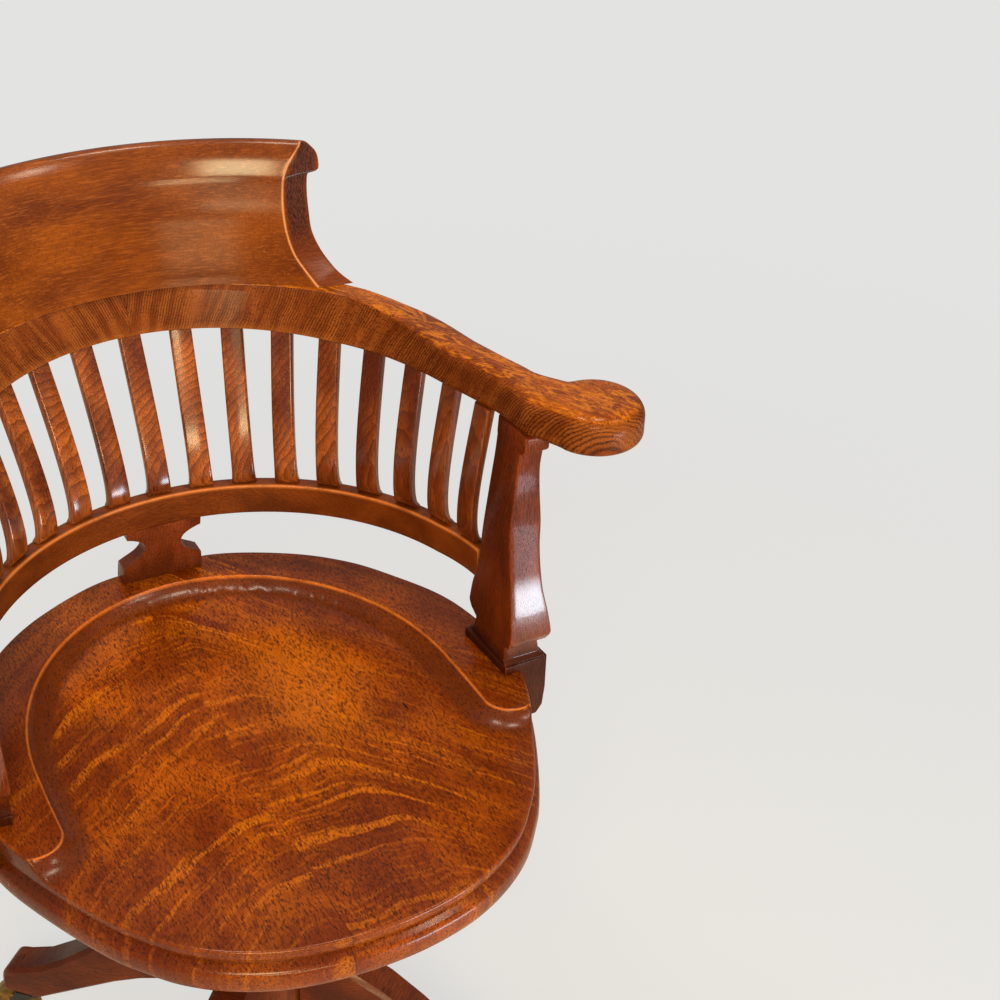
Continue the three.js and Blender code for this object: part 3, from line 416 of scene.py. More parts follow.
def makeOakGrain():
    # solid oak: X runs along the grain, the pith lies at Y = Z = 0, in millimetres
    tree, given, put = newGroup("oak grain", [
        ("Vector", "NodeSocketVector", None), ("Ring Width", "NodeSocketFloat", 3.0),
        ("Wander", "NodeSocketFloat", 6.0), ("Pore Length", "NodeSocketFloat", 9.0),
        ("Pore Width", "NodeSocketFloat", 0.8)], ["Rings", "Pores", "Mottle", "Fibres"])
    vector = given["Vector"]
    slow = stretched(tree, vector, (0.006, 0.02, 0.02))
    drift = addNode(tree, "ShaderNodeTexNoise", {"Vector": slow, "Scale": 1.0, "Detail": 3.0}).outputs["Color"]
    centred = vectors(tree, "SUBTRACT", drift, (0.5, 0.5, 0.5))
    moved = vectors(tree, "ADD", vector, scaled(tree, centred, given["Wander"]))
    # rings round the pith, each darkening slowly and ending sharply
    reach = lengthOf(tree, stretched(tree, moved, (0, 1, 1)))
    phase = sums(tree, "FRACT", over(tree, reach, given["Ring Width"]))
    late = fade(tree, phase, 0.93, 1.0, 1.0, 0.0)
    tree.links.new(times(tree, sums(tree, "POWER", phase, 1.6), late), put["Rings"])
    # pores are long cells, most of them in the first half of a ring
    long = over(tree, 1.0, given["Pore Length"])
    thin = over(tree, 1.0, given["Pore Width"])
    cells = vectors(tree, "MULTIPLY", moved, fromParts(tree, long, thin, thin))
    dots = addNode(tree, "ShaderNodeTexVoronoi", {"Vector": cells, "Scale": 1.0}).outputs["Distance"]
    early = fade(tree, phase, 0.25, 0.75, 1.0, 0.35)
    tree.links.new(times(tree, fade(tree, dots, 0.18, 0.5, 1.0, 0.0), early), put["Pores"])
    tree.links.new(speckle(tree, stretched(tree, vector, (0.012, 0.03, 0.03)), 1.0, 3.0), put["Mottle"])
    tree.links.new(speckle(tree, stretched(tree, moved, (0.05, 1.1, 1.1)), 1.0, 2.0, 0.7), put["Fibres"])
    return tree


def makeOldPolish():
    # wear on arrises, dirt in hollows, dust and fine scratches, as masks and as a roughness
    tree, given, put = newGroup("old polish", [
        ("Vector", "NodeSocketVector", None), ("Gloss", "NodeSocketFloat", 0.25)],
        ["Worn", "Dirt", "Roughness", "Height"])
    patches = speckle(tree, given["Vector"], 0.05, 3.0, 0.6)
    worn = times(tree, marked(tree, "arris"), fade(tree, patches, 0.3, 0.6, 0.35, 0.8), clamp=True)
    rubbed = times(tree, marked(tree, "rubbed"), fade(tree, patches, 0.25, 0.55, 0.5, 1.0))
    tree.links.new(sums(tree, "MAXIMUM", worn, rubbed), put["Worn"])
    tree.links.new(marked(tree, "hollow"), put["Dirt"])
    fine = speckle(tree, given["Vector"], 0.4, 4.0, 0.65)
    cloudy = speckle(tree, given["Vector"], 0.018, 3.0)
    rough = plus(tree, given["Gloss"], times(tree, minus(tree, fine, 0.5), 0.18))
    rough = plus(tree, rough, times(tree, minus(tree, cloudy, 0.5), 0.2), clamp=True)
    tree.links.new(rough, put["Roughness"])
    tree.links.new(plus(tree, fine, times(tree, cloudy, 4.0)), put["Height"])
    return tree


oakGrain = makeOakGrain()
oldPolish = makeOldPolish()


def placedVector(tree, look):
    # object coordinates, and the same in millimetres about a piece's own grain axis
    place = addNode(tree, "ShaderNodeTexCoord").outputs["Object"]
    if look["twoSided"]:
        x, y, z = partsOf(tree, place)
        place = fromParts(tree, sums(tree, "ABSOLUTE", x), y, z)
    along = stretched(tree, place, (1000, 1000, 1000), turn=look["turn"])
    return place, vectors(tree, "ADD", along, look["pith"])


def polishedOak(name, look, extra=None):
    material, tree, surface = newMaterial(name)
    place, grainPlace = placedVector(tree, look)
    if look["perPiece"]:
        # each piece is cut from another place in the wood
        number = marked(tree, look["perPiece"])
        shift = fromParts(tree, *(times(tree, number, step) for step in (371.0, 23.7, 13.1)))
        grainPlace = vectors(tree, "ADD", grainPlace, shift)
    grain = addNode(tree, "ShaderNodeGroup", {0: grainPlace}, node_tree=oakGrain)
    setInputs(grain, {key: look[key] for key in ("Ring Width", "Wander", "Pore Length", "Pore Width")})
    rings, pores, mottle, fibres = grain.outputs
    polish = addNode(tree, "ShaderNodeGroup", {0: inMillimetres(tree, place)}, node_tree=oldPolish)
    setInputs(polish, {"Gloss": look["gloss"]})
    colour = mixed(tree, fade(tree, mottle, 0.3, 0.7), look["dark"], look["light"])
    colour = mixed(tree, times(tree, rings, look["ringStrength"]), colour, look["ring"])
    colour = mixed(tree, times(tree, fade(tree, fibres, 0.5, 0.8), look["fibreStrength"]), colour, look["fibre"])
    height = times(tree, pores, -1.0)
    if extra:
        colour, height = extra(tree, colour, height, place)
    colour = mixed(tree, times(tree, pores, look["poreStrength"]), colour, look["pore"])
    colour = mixed(tree, times(tree, polish.outputs["Dirt"], 0.8), colour, look["dirt"])
    colour = mixed(tree, times(tree, polish.outputs["Worn"], look["wear"]), colour, look["worn"])
    height = plus(tree, height, times(tree, polish.outputs["Height"], look["ripple"]))
    bump = addNode(tree, "ShaderNodeBump", {"Strength": look["bump"], "Distance": 0.0006, "Height": height})
    tree.links.new(colour, surface.inputs["Base Color"])
    tree.links.new(polish.outputs["Roughness"], surface.inputs["Roughness"])
    tree.links.new(bump.outputs[0], surface.inputs["Normal"])
    setInputs(surface, {"Specular IOR Level": look["sheen"], "Coat Weight": look["coat"],
                        "Coat Roughness": look["coatRough"], "Coat IOR": 1.45})
    return material


plainLook = {
    "turn": (0, 0, 0), "pith": (0, 0, 300), "twoSided": False, "perPiece": None,
    "Ring Width": 3.0, "Wander": 8.0, "Pore Length": 9.0, "Pore Width": 0.9,
    "dark": tone(96, 38, 12), "light": tone(136, 62, 18), "ring": tone(70, 26, 10), "ringStrength": 0.4,
    "fibre": tone(150, 78, 26), "fibreStrength": 0.3, "pore": tone(38, 14, 7), "poreStrength": 0.7,
    "dirt": tone(26, 12, 8), "worn": tone(200, 104, 44), "wear": 0.8,
    "gloss": 0.36, "ripple": 0.05, "bump": 0.5, "sheen": 0.04, "coat": 0.3, "coatRough": 0.15,
}
print("stage: helpers and node groups ready")


# ---- seat ----

seatShape = {
    "top": 470.0, "underside": 416.0, "halfWidth": 243.0, "back": 252.0, "front": -266.0,
    "undercut": 20.0, "dishHalfWidth": 184.0, "dishHalfDepth": 212.0, "dishDepth": 11.0, "coveWidth": 21.0,
    "bowlHalfWidth": 165.0, "bowlHalfDepth": 192.0, "bowlDepth": 6.5, "edgeInset": 7.6,
    "arris": 0.7, "arrisRun": 1.3, "floorCentre": (0.0, -120.0), "dents": 80,
    # the scoop's edge by each post: in from the side, round the tongue, and on to the cove
    "tongue": (209.0, -66.0, 24.0), "beforeTongue": [(262, -50), (250, -54), (240, -59)],
    "afterTongue": [(185, -40), (184.6, -18)],
    # the side: out and down from the top edge, then height and share of the undercut
    "topRound": [(0.0, 0.0), (0.9, -0.15), (1.8, -0.7), (2.4, -1.6), (2.6, -3.0)],
    "sideRounds": [
        (0.68, 0.27), (0.63, 0.29), (0.6, 0.34), (0.565, 0.46), (0.54, 0.5), (0.515, 0.42), (0.49, 0.22),
        (0.45, 0.08), (0.4, 0.02), (0.32, 0.0), (0.24, 0.0), (0.18, 0.03), (0.12, 0.1), (0.08, 0.21),
        (0.05, 0.36), (0.02, 0.55), (0, 0.75)],
}
seatSides = [
    (0, 1), (0.246, 0.985), (0.516, 0.865), (0.705, 0.715), (0.835, 0.54), (0.93, 0.376), (0.978, 0.218),
    (1, 0.03), (0.992, -0.11), (0.962, -0.232), (0.912, -0.352), (0.832, -0.507), (0.757, -0.632),
    (0.7, -0.706), (0.602, -0.81), (0.48, -0.893), (0.33, -0.956), (0.165, -0.99), (0, -1),
]


def seatOutline(inset, count=1200):
    s = seatShape
    half = [(w * (s["halfWidth"] - inset), d * (s["back"] - inset) if d > 0 else -d * (s["front"] + inset))
            for w, d in seatSides]
    half = np.array([(-x, y) for x, y in half[1:3]][::-1] + half + [(-x, y) for x, y in half[-3:-1]][::-1])
    side = smoothLine(half, 24)[48:-48]
    side[0, 0] = side[-1, 0] = 0
    whole = np.vstack([side, (side * (-1, 1))[1:-1][::-1]])
    return evenLine(whole, count, closed=True)


def dishEdge():
    # the scoop's edge, from the right side round the tongue and the back to the left side
    s = seatShape
    tx, ty, tr = s["tongue"]
    tip = arcOf((tx, ty), (tr, -tr), 0.0, math.pi, 40)
    back = arcOf((0, 0), (s["dishHalfWidth"], s["dishHalfDepth"]), 0, math.pi / 2, 70)
    right = smoothLine(s["beforeTongue"] + tip + s["afterTongue"] + back, 4)
    return evenLine(np.vstack([right, (right * (-1, 1))[:-1][::-1]]), 900)


def outlineReach(inset):
    # how far out the seat's outline lies at each turn about the middle
    line = seatOutline(inset)
    turn = np.arctan2(line[:, 1], line[:, 0]) % (2 * math.pi)
    order = np.argsort(turn)
    reach = np.hypot(*line.T)
    return lambda a: np.interp(a % (2 * math.pi), turn[order], reach[order], period=2 * math.pi)


def onOutline(reachAt, turns):
    return np.stack([reachAt(turns) * np.cos(turns), reachAt(turns) * np.sin(turns)], 1)


def seatHeights(points, edge, inside):
    s = seatShape
    gap, _ = gapTo(points, edge)
    if not inside:
        return s["top"] - s["arris"] * np.clip(1 - gap / s["arrisRun"], 0, 1) ** 2
    t = np.clip(gap / s["coveWidth"], 0, 1)
    drop = s["dishDepth"] * (1 - (1 - t) ** 2) ** 0.9 + s["arris"]
    reach = (points[:, 0] / s["bowlHalfWidth"]) ** 2 + (points[:, 1] / s["bowlHalfDepth"]) ** 2
    drop += s["bowlDepth"] * np.clip(1 - reach, 0, 1) ** 1.4
    return s["top"] - drop * s["dishDepth"] / (s["dishDepth"] + s["arris"])


def ledgeRings(reachAt, inner, start):
    # from the scoop's edge out to the seat's own, beside and behind the scoop
    half = len(inner) // 2
    polar = np.maximum.accumulate(np.unwrap(np.arctan2(inner[:, 1], inner[:, 0]))[:half])
    wanted = np.linspace(start, math.pi / 2, half)
    blend = np.clip(np.linspace(-0.2, 3.2, half), 0, 1)
    turns = np.maximum.accumulate((1 - blend) * wanted + blend * np.maximum(polar, wanted[0]))
    outer = onOutline(reachAt, np.concatenate([turns, math.pi - turns[::-1]]))
    shares = np.concatenate([[0, 0.012, 0.03, 0.06, 0.1], np.linspace(0.16, 1, 12)])
    return [inner + (outer - inner) * k for k in shares], outer


def floorRings(reachAt, inner, start):
    # the scoop's floor runs in rings to a point ahead of the middle, with a corner by each tongue
    centre = np.array(seatShape["floorCentre"])
    tx, ty, tr = seatShape["tongue"]
    side = math.atan2(ty - centre[1], tx - centre[0]) - math.asin(tr / math.hypot(tx, ty - centre[1]))
    touch = np.array([tx + tr * math.sin(side), ty - tr * math.cos(side)])
    turnIn = int(np.argmin(np.linalg.norm(inner[: len(inner) // 4] - touch, axis=1)))

    def offRay(turn):
        x, y = reachAt(turn) * math.cos(turn), reachAt(turn) * math.sin(turn)
        return abs((y - centre[1]) * math.cos(side) - (x - centre[0]) * math.sin(side))

    exitTurn = min(np.linspace(start - 0.3, start, 600), key=offRay)
    beside = onOutline(reachAt, np.linspace(start, exitTurn, 15))
    arc = inner[: turnIn + 1][::-1]
    ray = evenLine(np.array([arc[0], beside[-1]]), len(arc))
    corner = np.array([arc + (ray - arc) * k for k in np.linspace(0, 1, len(beside))])
    blend = (np.linspace(0, 1, len(arc)) ** 3)[None, :, None]
    corner = corner + blend * (beside - corner[:, -1])[:, None, :]
    front = onOutline(reachAt, np.linspace(math.pi - exitTurn, exitTurn + 2 * math.pi, 300))[1:-1]
    rim = np.vstack([inner[turnIn:len(inner) - turnIn], (ray * (-1, 1))[1:], front, ray[::-1][:-1]])
    steps = np.concatenate([np.linspace(0, 0.15, 26), np.linspace(0.15, 1, 46)[1:-1]])
    return [rim + (centre - rim) * k for k in steps], corner, beside, front


def mouldedSide(topLine):
    # rings from the top edge down to the underside
    s = seatShape
    away = topLine[:, :2] / np.linalg.norm(topLine[:, :2], axis=1)[:, None]
    rows = [np.column_stack([topLine[:, :2] + away * out, topLine[:, 2] + down]) for out, down in s["topRound"]]
    turns = np.arctan2(topLine[:, 1], topLine[:, 0])
    for height, inset in s["sideRounds"]:
        z = np.full(len(turns), s["underside"] + height * (s["top"] - s["underside"]))
        rows.append(np.column_stack([onOutline(outlineReach(inset * s["undercut"]), turns), z]))
    return rows


def makeSeat():
    edge = dishEdge()
    reachAt = outlineReach(seatShape["edgeInset"])
    # where the scoop's edge leaves the seat at each side
    within = np.hypot(*edge.T) < reachAt(np.arctan2(edge[:, 1], edge[:, 0]))
    first, last = np.flatnonzero(within)[[0, -1]]
    inner = evenLine(edge[first:last + 1], 560)
    start = math.atan2(inner[0, 1], inner[0, 0])
    ledge, outer = ledgeRings(reachAt, inner, start)
    rings, corner, beside, front = floorRings(reachAt, inner, start)
    floor = rings + list(corner) + list(corner * (-1, 1))
    ledgeZ = [seatHeights(p, edge, False) for p in ledge]
    floorZ = [seatHeights(p, edge, True) for p in floor]
    dent(floor, floorZ)
    verts = [v for p, z in zip(ledge + floor, ledgeZ + floorZ) for v in np.column_stack([p, z]).tolist()]
    faces = gridFaces(len(ledge), len(inner))
    # the floor's rings, its two corners, and the fan at its middle
    base, m = len(ledge) * len(inner), len(rings[0])
    faces += gridFaces(len(rings), m, closed=True, first=base)
    rows, columns = corner.shape[:2]
    for part in (0, 1):
        faces += gridFaces(rows, columns, first=base + len(rings) * m + part * rows * columns)
    verts.append((*seatShape["floorCentre"], float(np.mean(floorZ[len(rings) - 1]))))
    lastRing = base + (len(rings) - 1) * m
    faces += [(lastRing + k, lastRing + (k + 1) % m, len(verts) - 1) for k in range(m)]
    # the moulded side and the underside
    low = lambda p: np.column_stack([p, seatHeights(p, edge, True)])
    topLine = np.vstack([np.column_stack([outer, ledgeZ[-1]]), low((beside * (-1, 1))[1:]), low(front),
                         low(beside[::-1][:-1])])
    side = mouldedSide(topLine)
    base = len(verts)
    verts += [v for row in side for v in row.tolist()]
    faces += gridFaces(len(side), len(topLine), closed=True, first=base)
    faces.append(tuple(range(len(verts) - len(topLine), len(verts))))
    return cleaned(newPiece("scooped_seat", verts, faces), merge=0.00005)


def dent(floor, floorZ):
    # knocks in the scoop's cove, mostly behind the middle
    draw = np.random.default_rng(7)
    s = seatShape
    for _ in range(s["dents"]):
        a = math.radians(draw.choice([draw.normal(78, 9), draw.normal(52, 10), draw.uniform(20, 160)]))
        inset = draw.uniform(5, 17)
        x, y = (s["dishHalfWidth"] - inset) * math.cos(a), (s["dishHalfDepth"] - inset) * math.sin(a)
        size, deep = draw.uniform(1.4, 4.6), draw.uniform(0.06, 0.36)
        for p, z in zip(floor, floorZ):
            gap = np.hypot(p[:, 0] - x, (p[:, 1] - y) * 0.7)
            z -= deep * np.exp(-(gap / size) ** 2)


seatLook = dict(plainLook, **{
    "turn": (0, 0, math.radians(-90)), "pith": (0, 0, -160), "Ring Width": 2.6, "Wander": 10.0,
    "Pore Length": 5.5, "Pore Width": 1.15,
    "dark": tone(122, 48, 2), "light": tone(180, 86, 5), "ring": tone(96, 34, 3), "ringStrength": 0.3,
    "fibre": tone(176, 88, 10), "fibreStrength": 0.3, "pore": tone(48, 18, 4), "poreStrength": 0.85,
    "worn": tone(214, 118, 44), "gloss": 0.42, "coat": 0.42, "coatRough": 0.2, "wear": 0.75,
})
seatRibbons = {
    # shade is a random darker tone, and also the painted shade towards the seat's sides and front
    "ray": tone(206, 112, 10), "glow": tone(206, 112, 10), "shade": tone(92, 32, 4), "fleck": tone(78, 30, 5),
    # cove is the painted shade in the scoop's cove
    "seam": tone(54, 20, 5), "cove": tone(88, 38, 8), "check": tone(22, 8, 4),
    # where the two boards meet, and how the rays bend down on each
    "joint": -26.0, "bendFrom": 12.0, "fall": 2.1, "softness": 34.0, "leftFall": 0.9, "leftSoftness": 40.0,
    "wander": 46.0, "boardStep": 17.0,
    # places in plan: the worn middle and its size, the small check and its size
    "middle": (62.0, 36.0), "middleSize": (62, 120), "checkAt": (127.0, -30.0), "checkSize": (1.3, 6.5),
}


def flowOnSeat(tree, x, y, inMm):
    # a height that stays level along the rays: they run across each board, then turn down to the front
    look = seatRibbons
    right = sums(tree, "GREATER_THAN", x, look["joint"])
    early = plus(tree, x, times(tree, minus(tree, y, 20.0), 0.22))
    past = sums(tree, "MAXIMUM", minus(tree, early, look["bendFrom"]), 0.0)
    soft = over(tree, times(tree, past, past), plus(tree, past, look["softness"]))
    rise = times(tree, soft, look["fall"], right)
    off = sums(tree, "MAXIMUM", minus(tree, look["joint"] - 8.0, x), 0.0)
    left = over(tree, times(tree, off, off), plus(tree, off, look["leftSoftness"]))
    left = times(tree, left, look["leftFall"])
    wavy = speckle(tree, stretched(tree, inMm, (0.013, 0.008, 0.01)), 1.0, 3.0, 0.5)
    wavy = times(tree, minus(tree, wavy, 0.5), look["wander"])
    level = plus(tree, plus(tree, y, wavy), plus(tree, rise, left))
    return plus(tree, level, times(tree, right, look["boardStep"])), right


def spotOn(tree, inMm, at, size):
    # 0 at a place in plan, 1 on an ellipse of that size round it
    scale = (1 / size[0], 1 / size[1], 0)
    return lengthOf(tree, stretched(tree, inMm, scale, (-at[0] / size[0], -at[1] / size[1], 0)))


def ribbonsOnSeat(tree, colour, height, place):
    # pale rays that flow across each board of the seat
    look = seatRibbons
    inMm = inMillimetres(tree, place, fromSpindle=True)
    x, y, _ = partsOf(tree, inMm)
    level, right = flowOnSeat(tree, x, y, inMm)
    along = minus(tree, times(tree, x, 0.9), times(tree, y, 0.5, right))

    def streaks(across, length, seed, low, high, strength):
        spot = fromParts(tree, over(tree, along, length), over(tree, level, across), seed)
        return fade(tree, speckle(tree, spot, 1.0, 2.0, 0.45), low, high, 0.0, strength)

    def crumbled(scale, rough, shift=(0, 0, 0)):
        return speckle(tree, stretched(tree, inMm, scale, shift), 1.0, 3.0, rough)

    # a shade that drifts over the whole seat, and the lighter place worn in its middle
    broad = crumbled((0.009, 0.009, 0.009), 0.5, (3, 9, 1))
    colour = mixed(tree, fade(tree, broad, 0.38, 0.62, 0.65, 0.0), colour, look["shade"])
    middle = fade(tree, spotOn(tree, inMm, look["middle"], look["middleSize"]), 0.2, 1.1, 0.6, 0.0)
    colour = mixed(tree, middle, colour, look["glow"])
    # the rays, broken up by the pores and faint in the cove
    cove = marked(tree, "cove")
    flames = streaks(14.0, 150.0, 3.1, 0.575, 0.66, 0.8)
    spread = streaks(34.0, 170.0, 7.7, 0.5, 0.7, 0.4)
    fine = times(tree, streaks(4.6, 80.0, 1.3, 0.52, 0.7, 0.5), fade(tree, broad, 0.35, 0.6, 0.35, 1.0))
    rays = sums(tree, "MAXIMUM", sums(tree, "MAXIMUM", flames, spread), fine)
    rays = times(tree, rays, fade(tree, crumbled((0.75, 0.22, 0.5), 0.7), 0.32, 0.58, 0.4, 1.0))
    rays = times(tree, rays, minus(tree, 1.0, times(tree, cove, 0.75)))
    colour = mixed(tree, rays, colour, look["ray"])
    flecks = fade(tree, crumbled((0.62, 0.15, 0.5), 0.68, (5, 2, 0)), 0.49, 0.61, 0.0, 0.8)
    colour = mixed(tree, flecks, colour, look["fleck"])
    # painted shade: darker towards the sides and the front, and in the cove
    front = fade(tree, y, -120.0, -250.0, 0.0, 0.7)
    outer = plus(tree, fade(tree, sums(tree, "ABSOLUTE", x), 95.0, 210.0), front)
    colour = mixed(tree, times(tree, outer, 0.6, clamp=True), colour, look["shade"])
    # painted shade: the cove's recess is darkened as if in shadow
    colour = mixed(tree, times(tree, cove, 0.68), colour, look["cove"])
    # the seam between the boards, plainer towards the front, and one short check
    line = fade(tree, sums(tree, "ABSOLUTE", minus(tree, x, look["joint"])), 0.2, 0.8, 1.0, 0.0)
    seam = times(tree, line, fade(tree, y, -190.0, -60.0, 0.6, 0.12))
    colour = mixed(tree, seam, colour, look["seam"])
    check = fade(tree, spotOn(tree, inMm, look["checkAt"], look["checkSize"]), 0.6, 1.1, 0.9, 0.0)
    colour = mixed(tree, check, colour, look["check"])
    return colour, plus(tree, height, times(tree, rays, 0.1))


def markScoop(mesh):
    # the cove's band, where the seat's colour is darkened as painted shade
    s = seatShape
    co = cornersOf(mesh)
    gap, _ = gapTo(co[:, :2], dishEdge())
    inside = (co[:, 2] < s["top"] - 0.75) & (co[:, 2] > s["top"] - 30)
    storeShare(mesh, "cove", np.where(inside, np.clip((s["coveWidth"] * 1.1 - gap) / 7, 0, 1), 0))


scoop = dishEdge()
seatEdges = [(np.column_stack([scoop, np.full(len(scoop), seatShape["top"] - 0.5)]), 1.15)]
seatOak = polishedOak("seatOak", seatLook, ribbonsOnSeat)
seat = finished(makeSeat(), "seat", ["seat"], seatOak, 50, seatEdges)
markScoop(seat.data)
print("stage: seat", len(seat.data.vertices))


# ---- the bow: two arms with rounded ends ----

bowShape = {
    "halfWidth": 217.0, "halfDepth": 268.0, "flareY": 90.0, "width": 46.0, "round": 5.0,
    "low": 702.0, "high": 737.0, "paw": (284.0, -53.0, 41.0, 13.0), "crown": 1.3,
    "straight": [(0.8, 0.964), (0.555, 0.993), (0.333, 1.019), (0.133, 1.04), (-0.055, 1.05), (-0.222, 1.055),
                 (-0.389, 1.062)],
    "widths": [(0, 1), (0.3, 1), (0.5, 0.97), (0.62, 0.92), (0.72, 0.82), (0.84, 0.82), (0.9, 0.86), (0.94, 1)],
    "leans": [(0, 0.43), (0.2, 0.5), (0.44, 0.69), (0.52, 0.5), (0.62, 0.2), (0.72, 0)],
    "outerRounds": [(0, 0.06), (0.5, 0.06), (0.6, 0.9), (0.8, 1.9), (0.95, 2.4), (1, 2.6)],
    "rounds": [(0, 0.06), (0.425, 0.06), (0.53, 0.9), (0.8, 1.9), (0.95, 2.3), (1, 2.6)],
    "across": [0, 0.012, 0.03, 0.06, 0.1, 0.15, 0.22, *np.linspace(0.3, 0.7, 7),
               0.78, 0.85, 0.9, 0.94, 0.97, 0.988, 1],
    "points": 260, "pawPoints": 90, "pawRungs": 14, "easeIn": 20, "apart": 0.15,
}


def slabBetween(name, chainA, chainB, radius, lean):
    # a plate with rounded edges whose outline runs up chain A and back down chain B
    b = bowShape
    k = len(chainA)
    across = b["across"]
    verts, faces, sides = [], [], []
    # the face's height, its way in, and its shares of the rounding, the crown and the lean
    for z0, sign, roundShare, crownShare, leanShare in (
            (b["high"], -1, 1.0, 1.0, 1.0), (b["low"], 1, 0.5, 0.5, 0.0)):
        left = chainA + lean * leanShare
        line = np.vstack([left, chainB[::-1]])
        grid = np.array([left + (chainB - left) * t for t in across])
        flat = grid.reshape(-1, 2)
        gap, near = gapTo(flat, line, closed=True)
        own = radius[np.minimum(near, len(radius) - 1)] * roundShare
        drop = own - np.sqrt(np.maximum(own ** 2 - (own - np.minimum(gap, own)) ** 2, 0))
        bulge = b["crown"] * np.clip(own / 4, 0, 1) * (1 - np.clip(gap / 20, 0, 1)) ** 2
        z = z0 + sign * (drop + bulge * crownShare)
        faces += gridFaces(len(across), k, first=len(verts))
        verts += np.column_stack([flat, z]).tolist()
        z = z.reshape(len(across), k)
        sides.append([np.column_stack([grid[end], z[end]]) for end in (0, -1)])
    for top, under in zip(*sides):
        faces += gridFaces(7, k, first=len(verts))
        verts += [v for t in np.linspace(0, 1, 7) for v in (top + (under - top) * t).tolist()]
    return cleaned(capped(cleaned(newPiece(name, verts, faces), merge=0.00003)))


def makeArm(name):
    b = bowShape
    lastTurn = math.asin(b["flareY"] / b["halfDepth"])
    path = arcOf((0, 0), (b["halfWidth"], b["halfDepth"]), math.pi / 2, lastTurn, 40)
    path += [(w * b["halfWidth"], d * b["flareY"]) for d, w in b["straight"]]
    inner = evenLine(smoothLine(path, 8), b["points"])
    share = np.linspace(0, 1, len(inner))
    run = np.gradient(inner, axis=0)
    normal = np.stack([-run[:, 1], run[:, 0]], 1) / np.linalg.norm(run, axis=1)[:, None]
    normal[0] = (0, 1)
    lean = normal * (shareOf(b["leans"], share) * (b["high"] - b["low"]))[:, None]
    px, py, pr, pawRound = b["paw"]
    outer = inner + normal * (shareOf(b["widths"], share) * b["width"])[:, None]
    keep = share < 0.915
    notch = np.array([(px - 2, py + pr + 0.4)])
    outer = np.vstack([outer[:1], evenLine(smoothLine(np.vstack([
        outer[keep][::12], outer[keep][-1:], notch]), 8), b["points"])[1:]])
    # the rounded end takes the place of the last rungs
    cut, ends, tip = b["pawRungs"], b["pawPoints"], 1.74 * math.pi
    pawIn = arcOf((px, py), (pr, pr), 1.02 * math.pi, tip, 60)
    pawOut = evenLine(arcOf((px, py), (pr, pr), 2.44 * math.pi, tip, 60), ends)
    innerPaw = evenLine(smoothLine(np.vstack([inner[-cut::6], pawIn[4::5], pawIn[-1:]]), 8), ends)
    chainA = np.vstack([inner[:-cut], innerPaw])
    chainB = np.vstack([outer[:-cut], evenLine(np.vstack([outer[-cut:], pawOut]), ends)])
    lean = np.vstack([lean[:-cut], np.zeros((ends, 2))])
    rounds = shareOf(b["rounds"], share) * b["round"]
    outerRounds = shareOf(b["outerRounds"], share) * b["round"]
    toPaw = np.linspace(rounds[-cut], pawRound, b["easeIn"])
    toPaw = np.concatenate([toPaw, np.full(ends - b["easeIn"], pawRound)])
    radius = np.concatenate([rounds[:-cut], toPaw, toPaw[::-1], outerRounds[:-cut][::-1]])
    # the two halves stand a little apart in the middle
    return slabBetween(name, chainA + (b["apart"], 0), chainB + (b["apart"], 0), radius, lean)


armLook = dict(plainLook, **{
    "twoSided": True, "turn": (0, 0, math.radians(64)), "pith": (0, 40, 260), "Ring Width": 3.4, "Wander": 26.0,
    "Pore Length": 5.0, "Pore Width": 0.9,
    "dark": tone(120, 50, 8), "light": tone(186, 96, 16), "ring": tone(84, 32, 8), "ringStrength": 0.6,
    "fibre": tone(200, 116, 30), "fibreStrength": 0.35, "pore": tone(46, 18, 7), "poreStrength": 0.8,
    "gloss": 0.4, "coat": 0.4, "worn": tone(214, 130, 60), "wear": 0.5,
})
combLines = {
    "dark": tone(56, 24, 10), "low": tone(102, 46, 15), "high": tone(134, 70, 27), "pitch": 2.6,
    "reach": 245.0, "slope": 0.45, "wander": 9.0, "flame": tone(206, 118, 20), "dash": tone(84, 34, 8),
    "dashTurn": math.radians(64),
}


